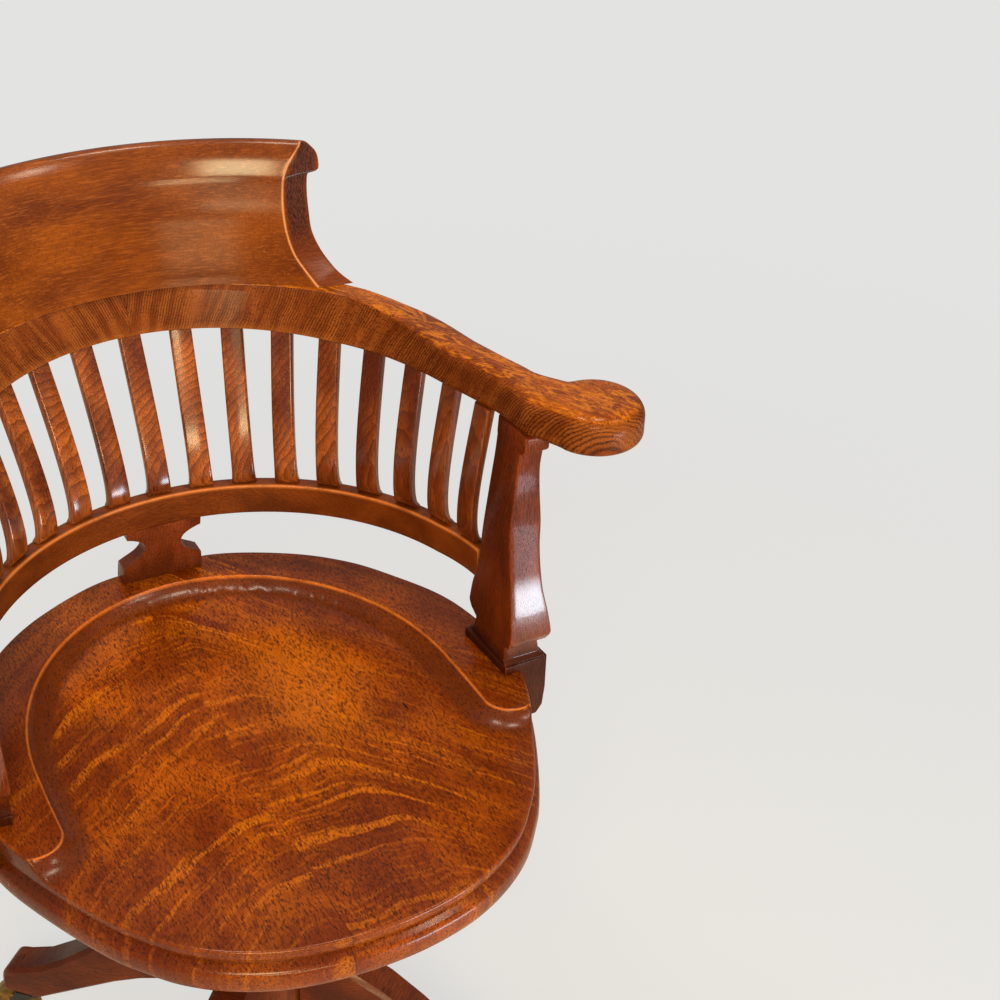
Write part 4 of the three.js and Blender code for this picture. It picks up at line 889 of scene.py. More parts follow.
def combOnBow(tree, colour, height, place):
    # the bow's upright faces are red-brown, with fine lines square to the edge
    look = combLines
    up = partsOf(tree, addNode(tree, "ShaderNodeNewGeometry").outputs["True Normal"])[2]
    wall = fade(tree, sums(tree, "ABSOLUTE", up), 0.55, 0.93, 1.0, 0.0)
    inMm = inMillimetres(tree, place, fromSpindle=True)
    x, y, z = partsOf(tree, inMm)
    turn = sums(tree, "ARCTAN2", over(tree, y, bowShape["halfDepth"]), over(tree, x, bowShape["halfWidth"]))
    run = plus(tree, times(tree, turn, look["reach"]), times(tree, z, look["slope"]))
    steps = plus(tree, run, times(tree, speckle(tree, inMm, 0.03, 2.0), look["wander"]))
    lines = fade(tree, sums(tree, "SINE", times(tree, steps, 2 * math.pi / look["pitch"])), -0.2, 0.7)
    patchy = fade(tree, speckle(tree, inMm, 0.022, 2.0), 0.36, 0.56, 0.25, 1.0)
    bands = speckle(tree, fromParts(tree, times(tree, steps, 0.11), 0.0, times(tree, z, 0.02)), 1.0, 3.0, 0.6)
    face = mixed(tree, fade(tree, bands, 0.38, 0.62), look["low"], look["high"])
    colour = mixed(tree, times(tree, wall, 0.88), colour, face)
    crumbs = fade(tree, speckle(tree, stretched(tree, inMm, (0.8, 0.8, 0.8)), 1.0, 2.0, 0.7), 0.35, 0.6, 0.45, 0.85)
    comb = times(tree, times(tree, lines, patchy), times(tree, wall, crumbs))
    colour = mixed(tree, comb, colour, look["dark"])
    # dark dashes and pale flames along the arm's top, alike on both sides
    top = times(tree, minus(tree, 1.0, wall), 0.75)
    bothSides = fromParts(tree, sums(tree, "ABSOLUTE", x), y, z)
    along = addNode(tree, "ShaderNodeVectorRotate", {"Vector": bothSides, "Angle": look["dashTurn"]},
                    rotation_type="Z_AXIS").outputs[0]
    dashWay = stretched(tree, along, (0.09, 0.75, 0.5))
    flames = speckle(tree, stretched(tree, dashWay, (0.45, 0.16, 0.3)), 1.0, 2.0, 0.5, 1.5)
    colour = mixed(tree, times(tree, fade(tree, flames, 0.45, 0.62), top), colour, look["flame"])
    dashes = speckle(tree, dashWay, 1.0, 3.0, 0.65)
    colour = mixed(tree, times(tree, fade(tree, dashes, 0.52, 0.66), top), colour, look["dash"])
    return colour, minus(tree, height, times(tree, comb, 0.3))


def thinPolish(material, *levels):
    # how much polish is left at each height: fades of (low, high, share below, share above), multiplied
    tree = material.node_tree
    z = partsOf(tree, inMillimetres(tree, addNode(tree, "ShaderNodeTexCoord").outputs["Object"]))["Z"]
    coat = 1.0
    for low, high, below, above in levels:
        coat = times(tree, fade(tree, z, low, high, below, above), coat)
    tree.links.new(coat, tree.nodes["Principled BSDF"].inputs["Coat Weight"])


bowOak = polishedOak("bowOak", armLook, combOnBow)
thinPolish(bowOak, (733.0, 736.6, 0.05, armLook["coat"]))
armRight = makeArm("arm_bow_right")
armLeft = mirrorOf(armRight, "arm_bow_left")
finished(armRight, "seat", ["arm_right"], bowOak, 50)
finished(armLeft, "seat", ["arm_left"], bowOak, 50)
print("stage: arms", len(armRight.data.vertices))


# ---- crest rail ----

crestShape = {
    "foot": 737.3, "top": 854.0, "radius": 260.0, "setY": 20.0, "lean": 49.0, "halfLength": 161.0, "thick": 18.0,
    "ease": 1.5, "points": 81,
    # height, lean, front and back length and thickness, each as a share; the head rolls over from 0.75 up
    "rows": [
        (0, 0, 1, 1.205, 1.06), (0.05, 0.04, 0.978, 1.16, 1.03), (0.11, 0.082, 0.953, 1.124, 1),
        (0.22, 0.163, 0.913, 1.08, 0.97), (0.35, 0.265, 0.894, 1.053, 0.97), (0.485, 0.367, 0.89, 1.053, 0.97),
        (0.61, 0.49, 0.9, 1.062, 1), (0.71, 0.582, 0.913, 1.075, 1.03), (0.75, 0.612, 0.92, 1.084, 1.06),
        (0.775, 0.633, 0.925, 1.142, 1.25), (0.84, 0.704, 0.95, 1.155, 1.3), (0.9, 0.776, 0.981, 1.146, 1.14),
        (0.95, 0.857, 1.012, 1.118, 0.85), (0.983, 0.925, 1.034, 1.093, 0.52), (1, 0.98, 1.043, 1.07, 0.24)],
}


def makeCrest():
    c = crestShape
    rows = np.array(c["rows"])
    rows = np.vstack([smoothLine(rows[:9], 9)[:-1], smoothLine(rows[8:], 9)])
    n = c["points"]
    corners = (0, n - 1, n + 4, 2 * n + 3)
    rings, edges = [], []

    def curved(reach, half, z, way):
        turn = math.asin(half * c["halfLength"] / reach)
        return [(reach * math.sin(t), c["setY"] + reach * math.cos(t), z)
                for t in np.linspace(-turn * way, turn * way, n)]

    for height, lean, front, back, thick in rows:
        z = c["foot"] + height * (c["top"] - c["foot"])
        inner = c["radius"] + lean * c["lean"]
        faceLine = curved(inner, front, z, 1)
        backLine = curved(inner + thick * c["thick"], back, z, -1)
        endOut = np.linspace(faceLine[-1], backLine[0], 6)[1:-1].tolist()
        endIn = np.linspace(backLine[-1], faceLine[0], 6)[1:-1].tolist()
        edges.append((faceLine[0], faceLine[-1]))
        rings.append(eased(faceLine + endOut + backLine + endIn, corners, c["ease"]))
    lines = [(evenLine([e[side] for e in edges], 240), 1.25) for side in (0, 1)]
    return lofted("crest_board", rings), lines


crestLook = dict(plainLook, **{
    "turn": (0, 0, 0), "pith": (0, -180, -560), "Ring Width": 4.2, "Wander": 14.0, "Pore Length": 14.0,
    "Pore Width": 1.0, "dark": tone(92, 38, 3), "light": tone(134, 66, 8), "ring": tone(74, 28, 4),
    "ringStrength": 0.35, "fibre": tone(160, 84, 30), "fibreStrength": 0.35, "pore": tone(60, 24, 10),
    "poreStrength": 0.45, "gloss": 0.4, "coat": 0.5, "coatRough": 0.19, "worn": tone(226, 150, 100), "wear": 0.8,
})
crestGrain = {
    "fleck": tone(92, 40, 14), "slant": tone(170, 92, 36),
    # the sawn ends: their two tones, the rings round a heart in the foot, and the foot's redder wood
    "endDark": tone(48, 22, 16), "endLight": tone(96, 50, 36), "endRing": tone(60, 24, 10), "foot": tone(142, 66, 22),
    "heart": (262.0, 768.0), "ringTurn": 1.9, "footLow": 752.0, "footHigh": 790.0,
}


def crossGrainOnCrest(tree, colour, height, place):
    # faint upright flecks over the level pores, and a darker, redder end
    look = crestGrain
    inMm = inMillimetres(tree, place, fromSpindle=True)
    flecks = speckle(tree, stretched(tree, inMm, (0.9, 0.5, 0.07)), 1.0, 3.0, 0.6)
    colour = mixed(tree, times(tree, fade(tree, flecks, 0.45, 0.7), 0.5), colour, look["fleck"])
    slant = speckle(tree, stretched(tree, inMm, (0.05, 0.3, 0.8), turn=(0, 0.5, 0)), 1.0, 2.0)
    colour = mixed(tree, times(tree, fade(tree, slant, 0.5, 0.7), 0.3), colour, look["slant"])
    _, y, z = partsOf(tree, inMm)
    streaks = speckle(tree, stretched(tree, inMm, (1, 0.9, 0.05)), 1.0, 3.0)
    end = mixed(tree, fade(tree, streaks, 0.35, 0.7), look["endDark"], look["endLight"])
    heartY, heartZ = look["heart"]
    fromHeart = lengthOf(tree, fromParts(tree, 0.0, minus(tree, y, heartY), minus(tree, z, heartZ)))
    rings = fade(tree, sums(tree, "SINE", times(tree, fromHeart, look["ringTurn"])), 0.0, 0.9)
    low = fade(tree, z, look["footLow"], look["footHigh"], 1.0, 0.0)
    end = mixed(tree, times(tree, rings, low, 0.7), end, look["endRing"])
    end = mixed(tree, times(tree, low, 0.45), end, look["foot"])
    colour = mixed(tree, marked(tree, "sawn"), colour, end)
    return colour, plus(tree, height, times(tree, flecks, 0.5))


def markCrestEnds(mesh):
    # the sawn ends, between the board's two faces
    c = crestShape
    co = cornersOf(mesh)
    height = (co[:, 2] - c["foot"]) / (c["top"] - c["foot"])
    rows = np.array(c["rows"])
    inner = c["radius"] + np.interp(height, rows[:, 0], rows[:, 1]) * c["lean"]
    thick = np.interp(height, rows[:, 0], rows[:, 4]) * c["thick"]
    reach = np.hypot(co[:, 0], co[:, 1] - c["setY"])
    depth = np.minimum(reach - inner, inner + thick - reach)
    storeShare(mesh, "sawn", np.where(np.abs(co[:, 0]) > 100, np.clip((depth - 0.6) / 1.2, 0, 1), 0))


crest, crestEdges = makeCrest()
markCrestEnds(crest.data)
crestOak = polishedOak("crestOak", crestLook, crossGrainOnCrest)
thinPolish(crestOak, (782.0, 826.0, 0.14, crestLook["coat"]))
finished(crest, "seat", ["crest_rail"], crestOak, 60, crestEdges)
print("stage: crest")


# ---- lower rail and centre block ----

railShape = {
    "halfWidth": 216.0, "halfDepth": 213.0, "thick": 16.0, "low": 536.0, "high": 565.0, "round": 3.0,
    "ease": 1.2, "step": 2.2, "endTurn": 0.075, "spread": 2.4, "rubbedIn": 0.4,
}


def makeRail():
    r = railShape
    t, h, ease, soft = r["thick"], r["high"] - r["low"], r["ease"], r["round"]
    section = []
    for k, (x, z, rad) in enumerate([(ease, ease, ease), (t - ease, ease, ease), (t - soft, h - soft, soft),
                                     (ease, h - ease, ease)]):
        start = (math.pi, 1.5 * math.pi, 0, math.pi / 2)[k]
        section += arcOf((x, z), (rad, rad), start, start + math.pi / 2, 5)
    section = filledIn(section, r["step"])
    rings, edge = [], []
    for angle in np.linspace(r["endTurn"], math.pi - r["endTurn"], 161):
        # the ends lean out a little, so that they stay within the posts
        spread = r["spread"] * np.clip((abs(math.cos(angle)) - 0.95) / 0.04, 0, 1)
        wide, deep = r["halfWidth"] + spread, r["halfDepth"]
        rings.append([((wide + out) * math.cos(angle), (deep + out) * math.sin(angle), r["low"] + up)
                      for out, up in section])
        rub = r["rubbedIn"]
        edge.append(((wide + rub) * math.cos(angle), (deep + rub) * math.sin(angle), r["high"] - rub))
    return lofted("bent_rail", rings), [(evenLine(edge, 900), 1.7)]


railLook = dict(plainLook, **{
    "turn": (0, 0, 0), "pith": (0, 60, -700), "Ring Width": 3.2, "Pore Length": 10.0,
    "dark": tone(90, 40, 12), "light": tone(132, 64, 21), "ring": tone(76, 30, 11), "ringStrength": 0.45,
    "fibre": tone(139, 73, 28), "fibreStrength": 0.4, "worn": tone(206, 120, 58), "wear": 0.85,
})
railOak = polishedOak("railOak", railLook)
rail, railEdge = makeRail()
finished(rail, "seat", ["lower_rail"], railOak, 60, railEdge)

blockShape = {
    "low": 470.3, "high": 535.7, "halfWidth": 38.0, "depth": 17.0, "footY": 229.0, "lean": 16.0,
    "rows": [(0, 1, 0), (0.27, 0.985, 0.25), (0.3, 0.95, 0.28), (0.34, 0.86, 0.33), (0.39, 0.72, 0.39),
             (0.45, 0.58, 0.46), (0.53, 0.48, 0.54), (0.62, 0.44, 0.63), (0.7, 0.48, 0.71), (0.77, 0.6, 0.78),
             (0.82, 0.76, 0.83), (0.845, 0.88, 0.85), (0.86, 0.92, 0.86), (1, 0.92, 1)],
}


def makeBlock():
    b = blockShape
    rings = []
    for height, width, forward in smoothLine(b["rows"], 3):
        z = b["low"] + height * (b["high"] - b["low"])
        half, y0 = width * b["halfWidth"], b["footY"] - forward * b["lean"]
        rings.append([(-half, y0, z), (half, y0, z), (half, y0 + b["depth"], z), (-half, y0 + b["depth"], z)])
    return bevelled(lofted("cut_block", rings), 1.0, 3, 30)


blockLook = dict(railLook, **{
    "turn": (0, math.radians(90), 0), "dark": tone(94, 42, 22), "light": tone(146, 72, 40), "wear": 0.7,
})
finished(makeBlock(), "seat", ["centre_block"], polishedOak("blockOak", blockLook), 45)
print("stage: rail and block")


# ---- posts ----

postShape = {
    "x": 216.5, "frontY": -45.7, "depth": 70.0, "width": 43.0, "low": 470.0, "high": 701.7, "plinth": 8.6,
    "turn": 0.058, "tail": 17.0, "foot": 416.0, "tailTop": 443.0, "tailEase": (2.0, 8.0), "tailIn": 14.0,
    # height, then inner, front, back and outer face, each as a share
    "rows": [
        (0.037, 0, 0.02, 0.97, 0.95), (0.06, 0, 0.07, 0.88, 0.83), (0.12, 0, 0.055, 0.83, 0.76),
        (0.142, 0, -0.05, 0.97, 0.87), (0.165, 0, -0.085, 1.02, 0.93), (0.19, 0, -0.088, 1.01, 0.93),
        (0.26, 0.01, -0.062, 0.965, 0.87), (0.375, 0.03, 0.006, 0.85, 0.765), (0.52, 0.06, 0.1, 0.817, 0.75),
        (0.63, 0.1, 0.166, 0.79, 0.8), (0.75, 0.165, 0.186, 0.775, 0.76), (0.85, 0.235, 0.215, 0.775, 0.76),
        (0.925, 0.28, 0.208, 0.782, 0.795), (0.937, 0.29, 0.13, 0.8, 0.85), (1, 0.31, 0.12, 0.8, 0.85)],
}


def makePost(name):
    p = postShape
    w, d, low = p["width"], p["depth"], p["low"]
    rows = np.array(p["rows"])
    rows = np.vstack([rows[:1], smoothLine(rows[1:3], 3), smoothLine(rows[3:13], 9), rows[13:]])
    rings = []
    for height, inner, front, back, outer in rows:
        z = low + height * (p["high"] - low)
        x0, x1, y0, y1 = p["x"] + inner * w, p["x"] + outer * w, p["frontY"] + front * d, p["frontY"] + back * d
        rings.append([(x0, y0, z), (x1, y0, z), (x1, y1, z), (x0, y1, z)])
    shaft = bevelled(lofted(name, rings), 1.5, 3, 30)
    # the plinth and the tail: one board's end view, run back through the plinth's depth
    low += 0.3
    high, foot, (in1, in2) = p["low"] + p["plinth"], p["foot"], p["tailEase"]
    tailX = w - p["tail"] - p["tailIn"]
    outline = [(0, low), (0, high), (w, high), (w, low), (w, p["tailTop"]), (w - in1, foot + in2), (w - in2, foot),
               (tailX, foot), (tailX, low)]
    turn = Matrix.Rotation(p["turn"], 3, "Z")
    plinth = bevelled(lofted(name + "_foot", [
        [tuple(turn @ Vector((x, y, 0)) + Vector((p["x"], p["frontY"], z))) for x, z in outline]
        for y in (0, d)]), 1.1, 3, 30)
    joined = bpy.data.meshes.new(name)
    bm = bmesh.new()
    bm.from_mesh(shaft.data)
    bm.from_mesh(plinth.data)
    bm.to_mesh(joined)
    bm.free()
    bpy.data.objects.remove(plinth)
    shaft.data = joined
    return shaft


postLook = dict(plainLook, **{
    "twoSided": True, "turn": (0, math.radians(90), 0), "pith": (0, 150, 90), "Ring Width": 2.4, "Wander": 16.0,
    "Pore Length": 12.0, "Pore Width": 0.8, "dark": tone(88, 35, 13), "light": tone(128, 54, 20),
    "ring": tone(46, 15, 6), "ringStrength": 0.6, "fibre": tone(136, 60, 24), "fibreStrength": 0.35,
    "pore": tone(28, 10, 6), "poreStrength": 0.7, "gloss": 0.33, "coat": 0.6, "coatRough": 0.1,
    "worn": tone(190, 92, 48), "wear": 0.9,
})
footDark = {"colour": tone(40, 17, 10), "low": 478.0, "high": 500.0, "strength": 0.75}


def darkFoot(tree, colour, height, place):
    # darker at the plinth and the tail, below the heights in footDark
    z = partsOf(tree, inMillimetres(tree, place))["Z"]
    kept = fade(tree, z, footDark["low"], footDark["high"], footDark["strength"], 0.0)
    return mixed(tree, kept, colour, footDark["colour"]), height


postOak = polishedOak("postOak", postLook, darkFoot)
thinPolish(postOak, (480.0, 496.0, 0.12, 0.75), (552.0, 572.0, 1.0, 0.1))
postRight = makePost("arm_post_right")
postLeft = mirrorOf(postRight, "arm_post_left")
finished(postRight, "seat", ["post_right"], postOak, 45)
finished(postLeft, "seat", ["post_left"], postOak, 45)
print("stage: posts")


# ---- slats, by geometry nodes ----

slatShape = {
    "count": 17, "width": 20.0, "thick": 9.0, "footWidth": 226.5, "footDepth": 223.5, "headWidth": 228.0,
    "headDepth": 279.0, "footShare": 0.89635, "headShare": 0.92985, "low": 565.3, "high": 701.7, "swell": 9.0,
    "round": 2.2,
}


def geometryTree(name, ins):
    tree = bpy.data.node_groups.new(name, "GeometryNodeTree")
    tree.interface.new_socket("Geometry", in_out="OUTPUT", socket_type="NodeSocketGeometry")
    for label, kind in ins:
        tree.interface.new_socket(label, in_out="INPUT", socket_type="NodeSocket" + kind)
    return tree, tree.nodes.new("NodeGroupInput").outputs, tree.nodes.new("NodeGroupOutput").inputs


def runTree(name, tree, values):
    piece = linked(name, bpy.data.meshes.new(name))
    tool = piece.modifiers.new(name, "NODES")
    tool.node_group = tree
    identifiers = {item.name: item.identifier for item in tree.interface.items_tree if item.in_out == "INPUT"}
    for label, value in values.items():
        tool[identifiers[label]] = value
    return baked(piece)


def endTree(tree, shape, given, put):
    # every tree here ends alike
    real = addNode(tree, "GeometryNodeRealizeInstances", {"Geometry": shape}).outputs[0]
    painted = addNode(tree, "GeometryNodeSetMaterial", {"Geometry": real, "Material": given["Material"]})
    tree.links.new(painted.outputs[0], put["Geometry"])
    return tree


def bareSlat():
    # one straight slat with rounded corners, from 0 to 1 in height
    s = slatShape
    r = s["round"]
    wide, deep = s["width"] / 2 - r, s["thick"] / 2 - r
    section = []
    for k, (x, y) in enumerate([(wide, deep), (-wide, deep), (-wide, -deep), (wide, -deep)]):
        section += arcOf((x, y), (r, r), k * math.pi / 2, (k + 1) * math.pi / 2, 4)
    count, rings = len(section), 27
    verts = [(x * mm, y * mm, z) for z in np.linspace(0, 1, rings) for x, y in section]
    faces = gridFaces(rings, count, closed=True)
    faces += [tuple(range(count))[::-1], tuple(range((rings - 1) * count, rings * count))]
    mesh = bpy.data.meshes.new("bare_slat")
    mesh.from_pydata(verts, [], faces)
    return linked("bare_slat", mesh)


def makeSlatTree():
    tree, given, put = geometryTree("slat row", [
        ("Slat", "Object"), ("Count", "Int"), ("Foot Size", "Vector"), ("Head Size", "Vector"),
        ("Foot Share", "Float"), ("Head Share", "Float"), ("Swell", "Float"), ("Low", "Float"), ("High", "Float"),
        ("Set Back", "Float"), ("Material", "Material")])
    place = tree.nodes.new("GeometryNodeInputPosition").outputs[0]
    tangent = tree.nodes.new("GeometryNodeInputTangent").outputs[0]

    def lineOf(end):
        # the middle share of an ellipse's back half, in as many points as there are slats
        arc = addNode(tree, "GeometryNodeCurveArc", {
            "Resolution": 721, "Radius": 1.0, "Start Angle": 0.0, "Sweep Angle": math.pi}).outputs[0]
        shaped = addNode(tree, "GeometryNodeSetPosition", {
            "Geometry": arc, "Position": vectors(tree, "MULTIPLY", place, given[end + " Size"])}).outputs[0]
        spare = times(tree, minus(tree, 1.0, given[end + " Share"]), 0.5)
        cut = addNode(tree, "GeometryNodeTrimCurve", {
            "Curve": shaped, "Start": spare, "End": minus(tree, 1.0, spare)}).outputs[0]
        return addNode(tree, "GeometryNodeResampleCurve", {"Curve": cut, "Count": given["Count"]}).outputs[0]

    # one bare slat for each point, numbered, and made real so that each can be bent by itself
    row = addNode(tree, "GeometryNodeMeshLine", {"Count": given["Count"], "Offset": (0, 0, 0)}).outputs[0]
    shape = addNode(tree, "GeometryNodeObjectInfo", {"Object": given["Slat"]}).outputs["Geometry"]
    each = addNode(tree, "GeometryNodeInstanceOnPoints", {"Points": row, "Instance": shape}).outputs[0]
    number = tree.nodes.new("GeometryNodeInputIndex").outputs[0]
    named = addNode(tree, "GeometryNodeStoreNamedAttribute", {"Geometry": each, "Name": "slat", "Value": number},
                    data_type="FLOAT", domain="INSTANCE").outputs[0]
    solid = addNode(tree, "GeometryNodeRealizeInstances", {"Geometry": named}).outputs[0]
    own = addNode(tree, "GeometryNodeInputNamedAttribute", {"Name": "slat"}, data_type="FLOAT").outputs[0]
    x, y, share = partsOf(tree, place)
    foot, head = lineOf("Foot"), lineOf("Head")

    def between(field):
        # a value of the foot's line and of the head's at this slat's own number, mixed by height
        node = addNode(tree, "ShaderNodeMix", {0: share}, data_type="VECTOR")
        for curve, socket in ((foot, 4), (head, 5)):
            taken = addNode(tree, "GeometryNodeSampleIndex", {"Geometry": curve}, data_type="FLOAT_VECTOR",
                            domain="POINT")
            tree.links.new(field, taken.inputs["Value"])
            tree.links.new(own, taken.inputs["Index"])
            tree.links.new(taken.outputs[0], node.inputs[socket])
        return node.outputs[1]

    along = addNode(tree, "ShaderNodeVectorMath", {0: between(tangent)}, operation="NORMALIZE").outputs[0]
    inward = vectors(tree, "CROSS_PRODUCT", (0, 0, 1), along)
    wave = sums(tree, "SINE", times(tree, sums(tree, "POWER", share, 0.55), math.pi))
    into = plus(tree, y, times(tree, wave, given["Swell"]))
    flare = plus(tree, 1.0, times(tree, sums(tree, "POWER", minus(tree, 1.0, share), 14.0), 0.12))
    spot = vectors(tree, "ADD", between(place), scaled(tree, along, times(tree, x, flare)))
    spot = vectors(tree, "ADD", spot, scaled(tree, inward, into))
    rise = addNode(tree, "ShaderNodeMapRange", {0: share, 1: 0.0, 2: 1.0, 3: given["Low"], 4: given["High"]})
    lift = fromParts(tree, 0.0, given["Set Back"], rise.outputs[0])
    moved = addNode(tree, "GeometryNodeSetPosition", {
        "Geometry": solid, "Position": vectors(tree, "ADD", spot, lift)}).outputs[0]
    return endTree(tree, moved, given, put)


slatLook = dict(plainLook, **{
    "turn": (0, math.radians(90), 0), "pith": (0, 30, 20), "Ring Width": 3.6, "Wander": 22.0, "perPiece": "slat",
    "Pore Length": 10.0, "dark": tone(96, 38, 12), "light": tone(176, 92, 36), "ring": tone(60, 22, 8),
    "ringStrength": 0.8, "fibre": tone(186, 104, 44), "fibreStrength": 0.4, "gloss": 0.34, "coat": 0.8,
    "coatRough": 0.16, "worn": tone(170, 88, 40), "wear": 0.5,
})
sideDark = {"colour": tone(84, 32, 15), "from": 110.0, "full": 200.0, "strength": 0.5}


def darkToSides(tree, colour, height, place):
    # the slats by the posts were cut from redder, darker wood
    x = partsOf(tree, inMillimetres(tree, place))["X"]
    side = fade(tree, sums(tree, "ABSOLUTE", x), sideDark["from"], sideDark["full"], 0.0, sideDark["strength"])
    return mixed(tree, side, colour, sideDark["colour"]), height


slatOak = polishedOak("slatOak", slatLook, darkToSides)
bare = bareSlat()
s = slatShape
slats = runTree("slats", makeSlatTree(), {
    "Slat": bare, "Count": s["count"], "Foot Size": (s["footWidth"] * mm, s["footDepth"] * mm, 1),
    "Head Size": (s["headWidth"] * mm, s["headDepth"] * mm, 1), "Foot Share": s["footShare"],
    "Head Share": s["headShare"], "Swell": s["swell"] * mm, "Low": s["low"] * mm, "High": s["high"] * mm,
    "Set Back": axisY, "Material": slatOak})
bpy.data.objects.remove(bare)
slatNodes = [f"slat_{k:02d}" for k in range(1, s["count"] + 1)]
finished(cleaned(slats), "seat", slatNodes, slatOak, 60)
print("stage: slats", len(slats.data.vertices))


# ---- metals ----

def plainMetal(name, look):
    # cast, turned or rolled metal with its own skin, spots and rubbed edges
    material, tree, surface = newMaterial(name)
    inMm = inMillimetres(tree, addNode(tree, "ShaderNodeTexCoord").outputs["Object"])
    polish = addNode(tree, "ShaderNodeGroup", {0: inMm}, node_tree=oldPolish)
    setInputs(polish, {"Gloss": look["gloss"]})
    cloudy = speckle(tree, inMm, look["cloud"], 4.0, 0.6)
    colour = mixed(tree, fade(tree, cloudy, 0.35, 0.65), look["low"], look["high"])
    spotted = fade(tree, speckle(tree, inMm, look["spots"], 3.0, 0.7), 0.6, 0.72, 0.0, look["spotStrength"])
    colour = mixed(tree, spotted, colour, look["spot"])
    colour = mixed(tree, times(tree, polish.outputs["Dirt"], 0.85), colour, look["dirt"])
    colour = mixed(tree, times(tree, polish.outputs["Worn"], look["wear"]), colour, look["worn"])
    rough = plus(tree, polish.outputs["Roughness"], times(tree, spotted, 0.3), clamp=True)
    skin = speckle(tree, inMm, look["skin"], 4.0, 0.65)
    bump = addNode(tree, "ShaderNodeBump", {
        "Strength": look["bump"], "Distance": 0.0004, "Height": plus(tree, skin, spotted)})
    tree.links.new(colour, surface.inputs["Base Color"])
    tree.links.new(rough, surface.inputs["Roughness"])
    tree.links.new(bump.outputs[0], surface.inputs["Normal"])
    if look["bare"]:
        tree.links.new(fade(tree, spotted, 0.2, 0.7, 1.0, 0.35), surface.inputs["Metallic"])
    setInputs(surface, {"Specular IOR Level": look["sheen"], "Coat Weight": look["coat"], "Coat Roughness": 0.2})
    return material


castIron = plainMetal("castIron", {
    "low": tone(20, 18, 16), "high": tone(38, 33, 29), "spot": tone(74, 44, 28), "spotStrength": 0.6, "cloud": 0.04,
    "spots": 0.12, "dirt": tone(12, 9, 7), "worn": tone(96, 84, 74), "wear": 0.6, "gloss": 0.48, "bare": False,
    "sheen": 0.35, "coat": 0.25, "skin": 0.9, "bump": 0.45})
oldSteel = plainMetal("oldSteel", {
    "low": tone(112, 106, 98), "high": tone(150, 144, 136), "spot": tone(70, 46, 32), "spotStrength": 0.8,
    "cloud": 0.06, "spots": 0.25, "dirt": tone(34, 27, 21), "worn": tone(190, 186, 178), "wear": 0.6, "gloss": 0.34,
    "bare": True, "sheen": 0.5, "coat": 0.0, "skin": 1.6, "bump": 0.2})
oldBrass = plainMetal("oldBrass", {
    "low": tone(126, 92, 42), "high": tone(168, 128, 62), "spot": tone(66, 52, 30), "spotStrength": 0.7,
    "cloud": 0.08, "spots": 0.2, "dirt": tone(40, 30, 17), "worn": tone(214, 180, 104), "wear": 0.7, "gloss": 0.36,
    "bare": True, "sheen": 0.5, "coat": 0.0, "skin": 1.2, "bump": 0.25})


# ---- the base and the mechanism ----

def easedNode(node, name, ease, segments=3):
    # a solid's own shape, welded, its flats made whole and its edges eased
    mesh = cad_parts[node].data.copy()
    if "custom_normal" in mesh.attributes:
        mesh.attributes.remove(mesh.attributes["custom_normal"])

    def weld(bm):
        bmesh.ops.remove_doubles(bm, verts=bm.verts, dist=0.00001)
        bmesh.ops.dissolve_limit(bm, angle_limit=math.radians(1), verts=bm.verts, edges=bm.edges)
    return bevelled(reworked(linked(name, mesh), weld), ease, segments, 30)


baseLook = dict(plainLook, **{
    "turn": (0, math.radians(90), 0), "pith": (0, 12, 18), "Ring Width": 3.4, "Wander": 14.0, "Pore Length": 11.0,
    "dark": tone(80, 32, 14), "light": tone(120, 54, 22), "ring": tone(56, 20, 10), "ringStrength": 0.5,
    "fibre": tone(136, 66, 28), "fibreStrength": 0.3, "gloss": 0.42, "coat": 0.28, "coatRough": 0.22,
    "worn": tone(170, 96, 50), "wear": 0.8,
})
hubOak = polishedOak("hubOak", baseLook)
legOak = polishedOak("legOak", dict(baseLook, **{
    "twoSided": True, "turn": (0, 0, math.radians(-45)), "pith": (0, 30, -420), "Wander": 20.0,
}))

hubShape = {
    "low": 100.0, "high": 243.1, "reach": 46.0,
    "drop": [(0, 0), (0.16, 0.0), (0.3, 0.004), (0.43, 0.016), (0.52, 0.035), (0.585, 0.06), (0.58, 0.085),
             (0.5, 0.11), (0.43, 0.13), (0.43, 0.15), (0.5, 0.172), (0.68, 0.185), (0.82, 0.196), (0.89, 0.212),
             (0.92, 0.235)],
    "crown": [(0.92, 0.25), (0.92, 0.855), (0.94, 0.864), (0.985, 0.882), (1.01, 0.9), (1.02, 0.925), (1.005, 0.955),
              (0.97, 0.982), (0.92, 0.998), (0.7, 1.0), (0.45, 1.0)],
}


def makeHub():
    h = hubShape
    rows = np.vstack([smoothLine(h["drop"], 4), smoothLine(h["crown"], 3)])
    return turned("turned_hub", [
        (max(r, 0.001) * h["reach"], h["low"] + z * (h["high"] - h["low"])) for r, z in rows], steps=120)


finished(makeHub(), "base", ["hub"], hubOak, 50)
liningRows = [
    (12.4, 132), (17, 132), (17, 243.3), (31.0, 243.4), (31.8, 243.9), (32, 244.6), (32, 247.9), (31.6, 248.9),
    (30.6, 249.4), (20.5, 249.4), (12.6, 249.4), (12.4, 132),
]
lining = turned("hub_lining_ring", liningRows)
finished(lining, "base", ["hub_lining"], castIron, 40)
for k in range(1, 5):
    finished(easedNode(f"leg_{k}", f"swept_leg_{k}", 3.2, 4), "base", [f"leg_{k}"], legOak, 40)

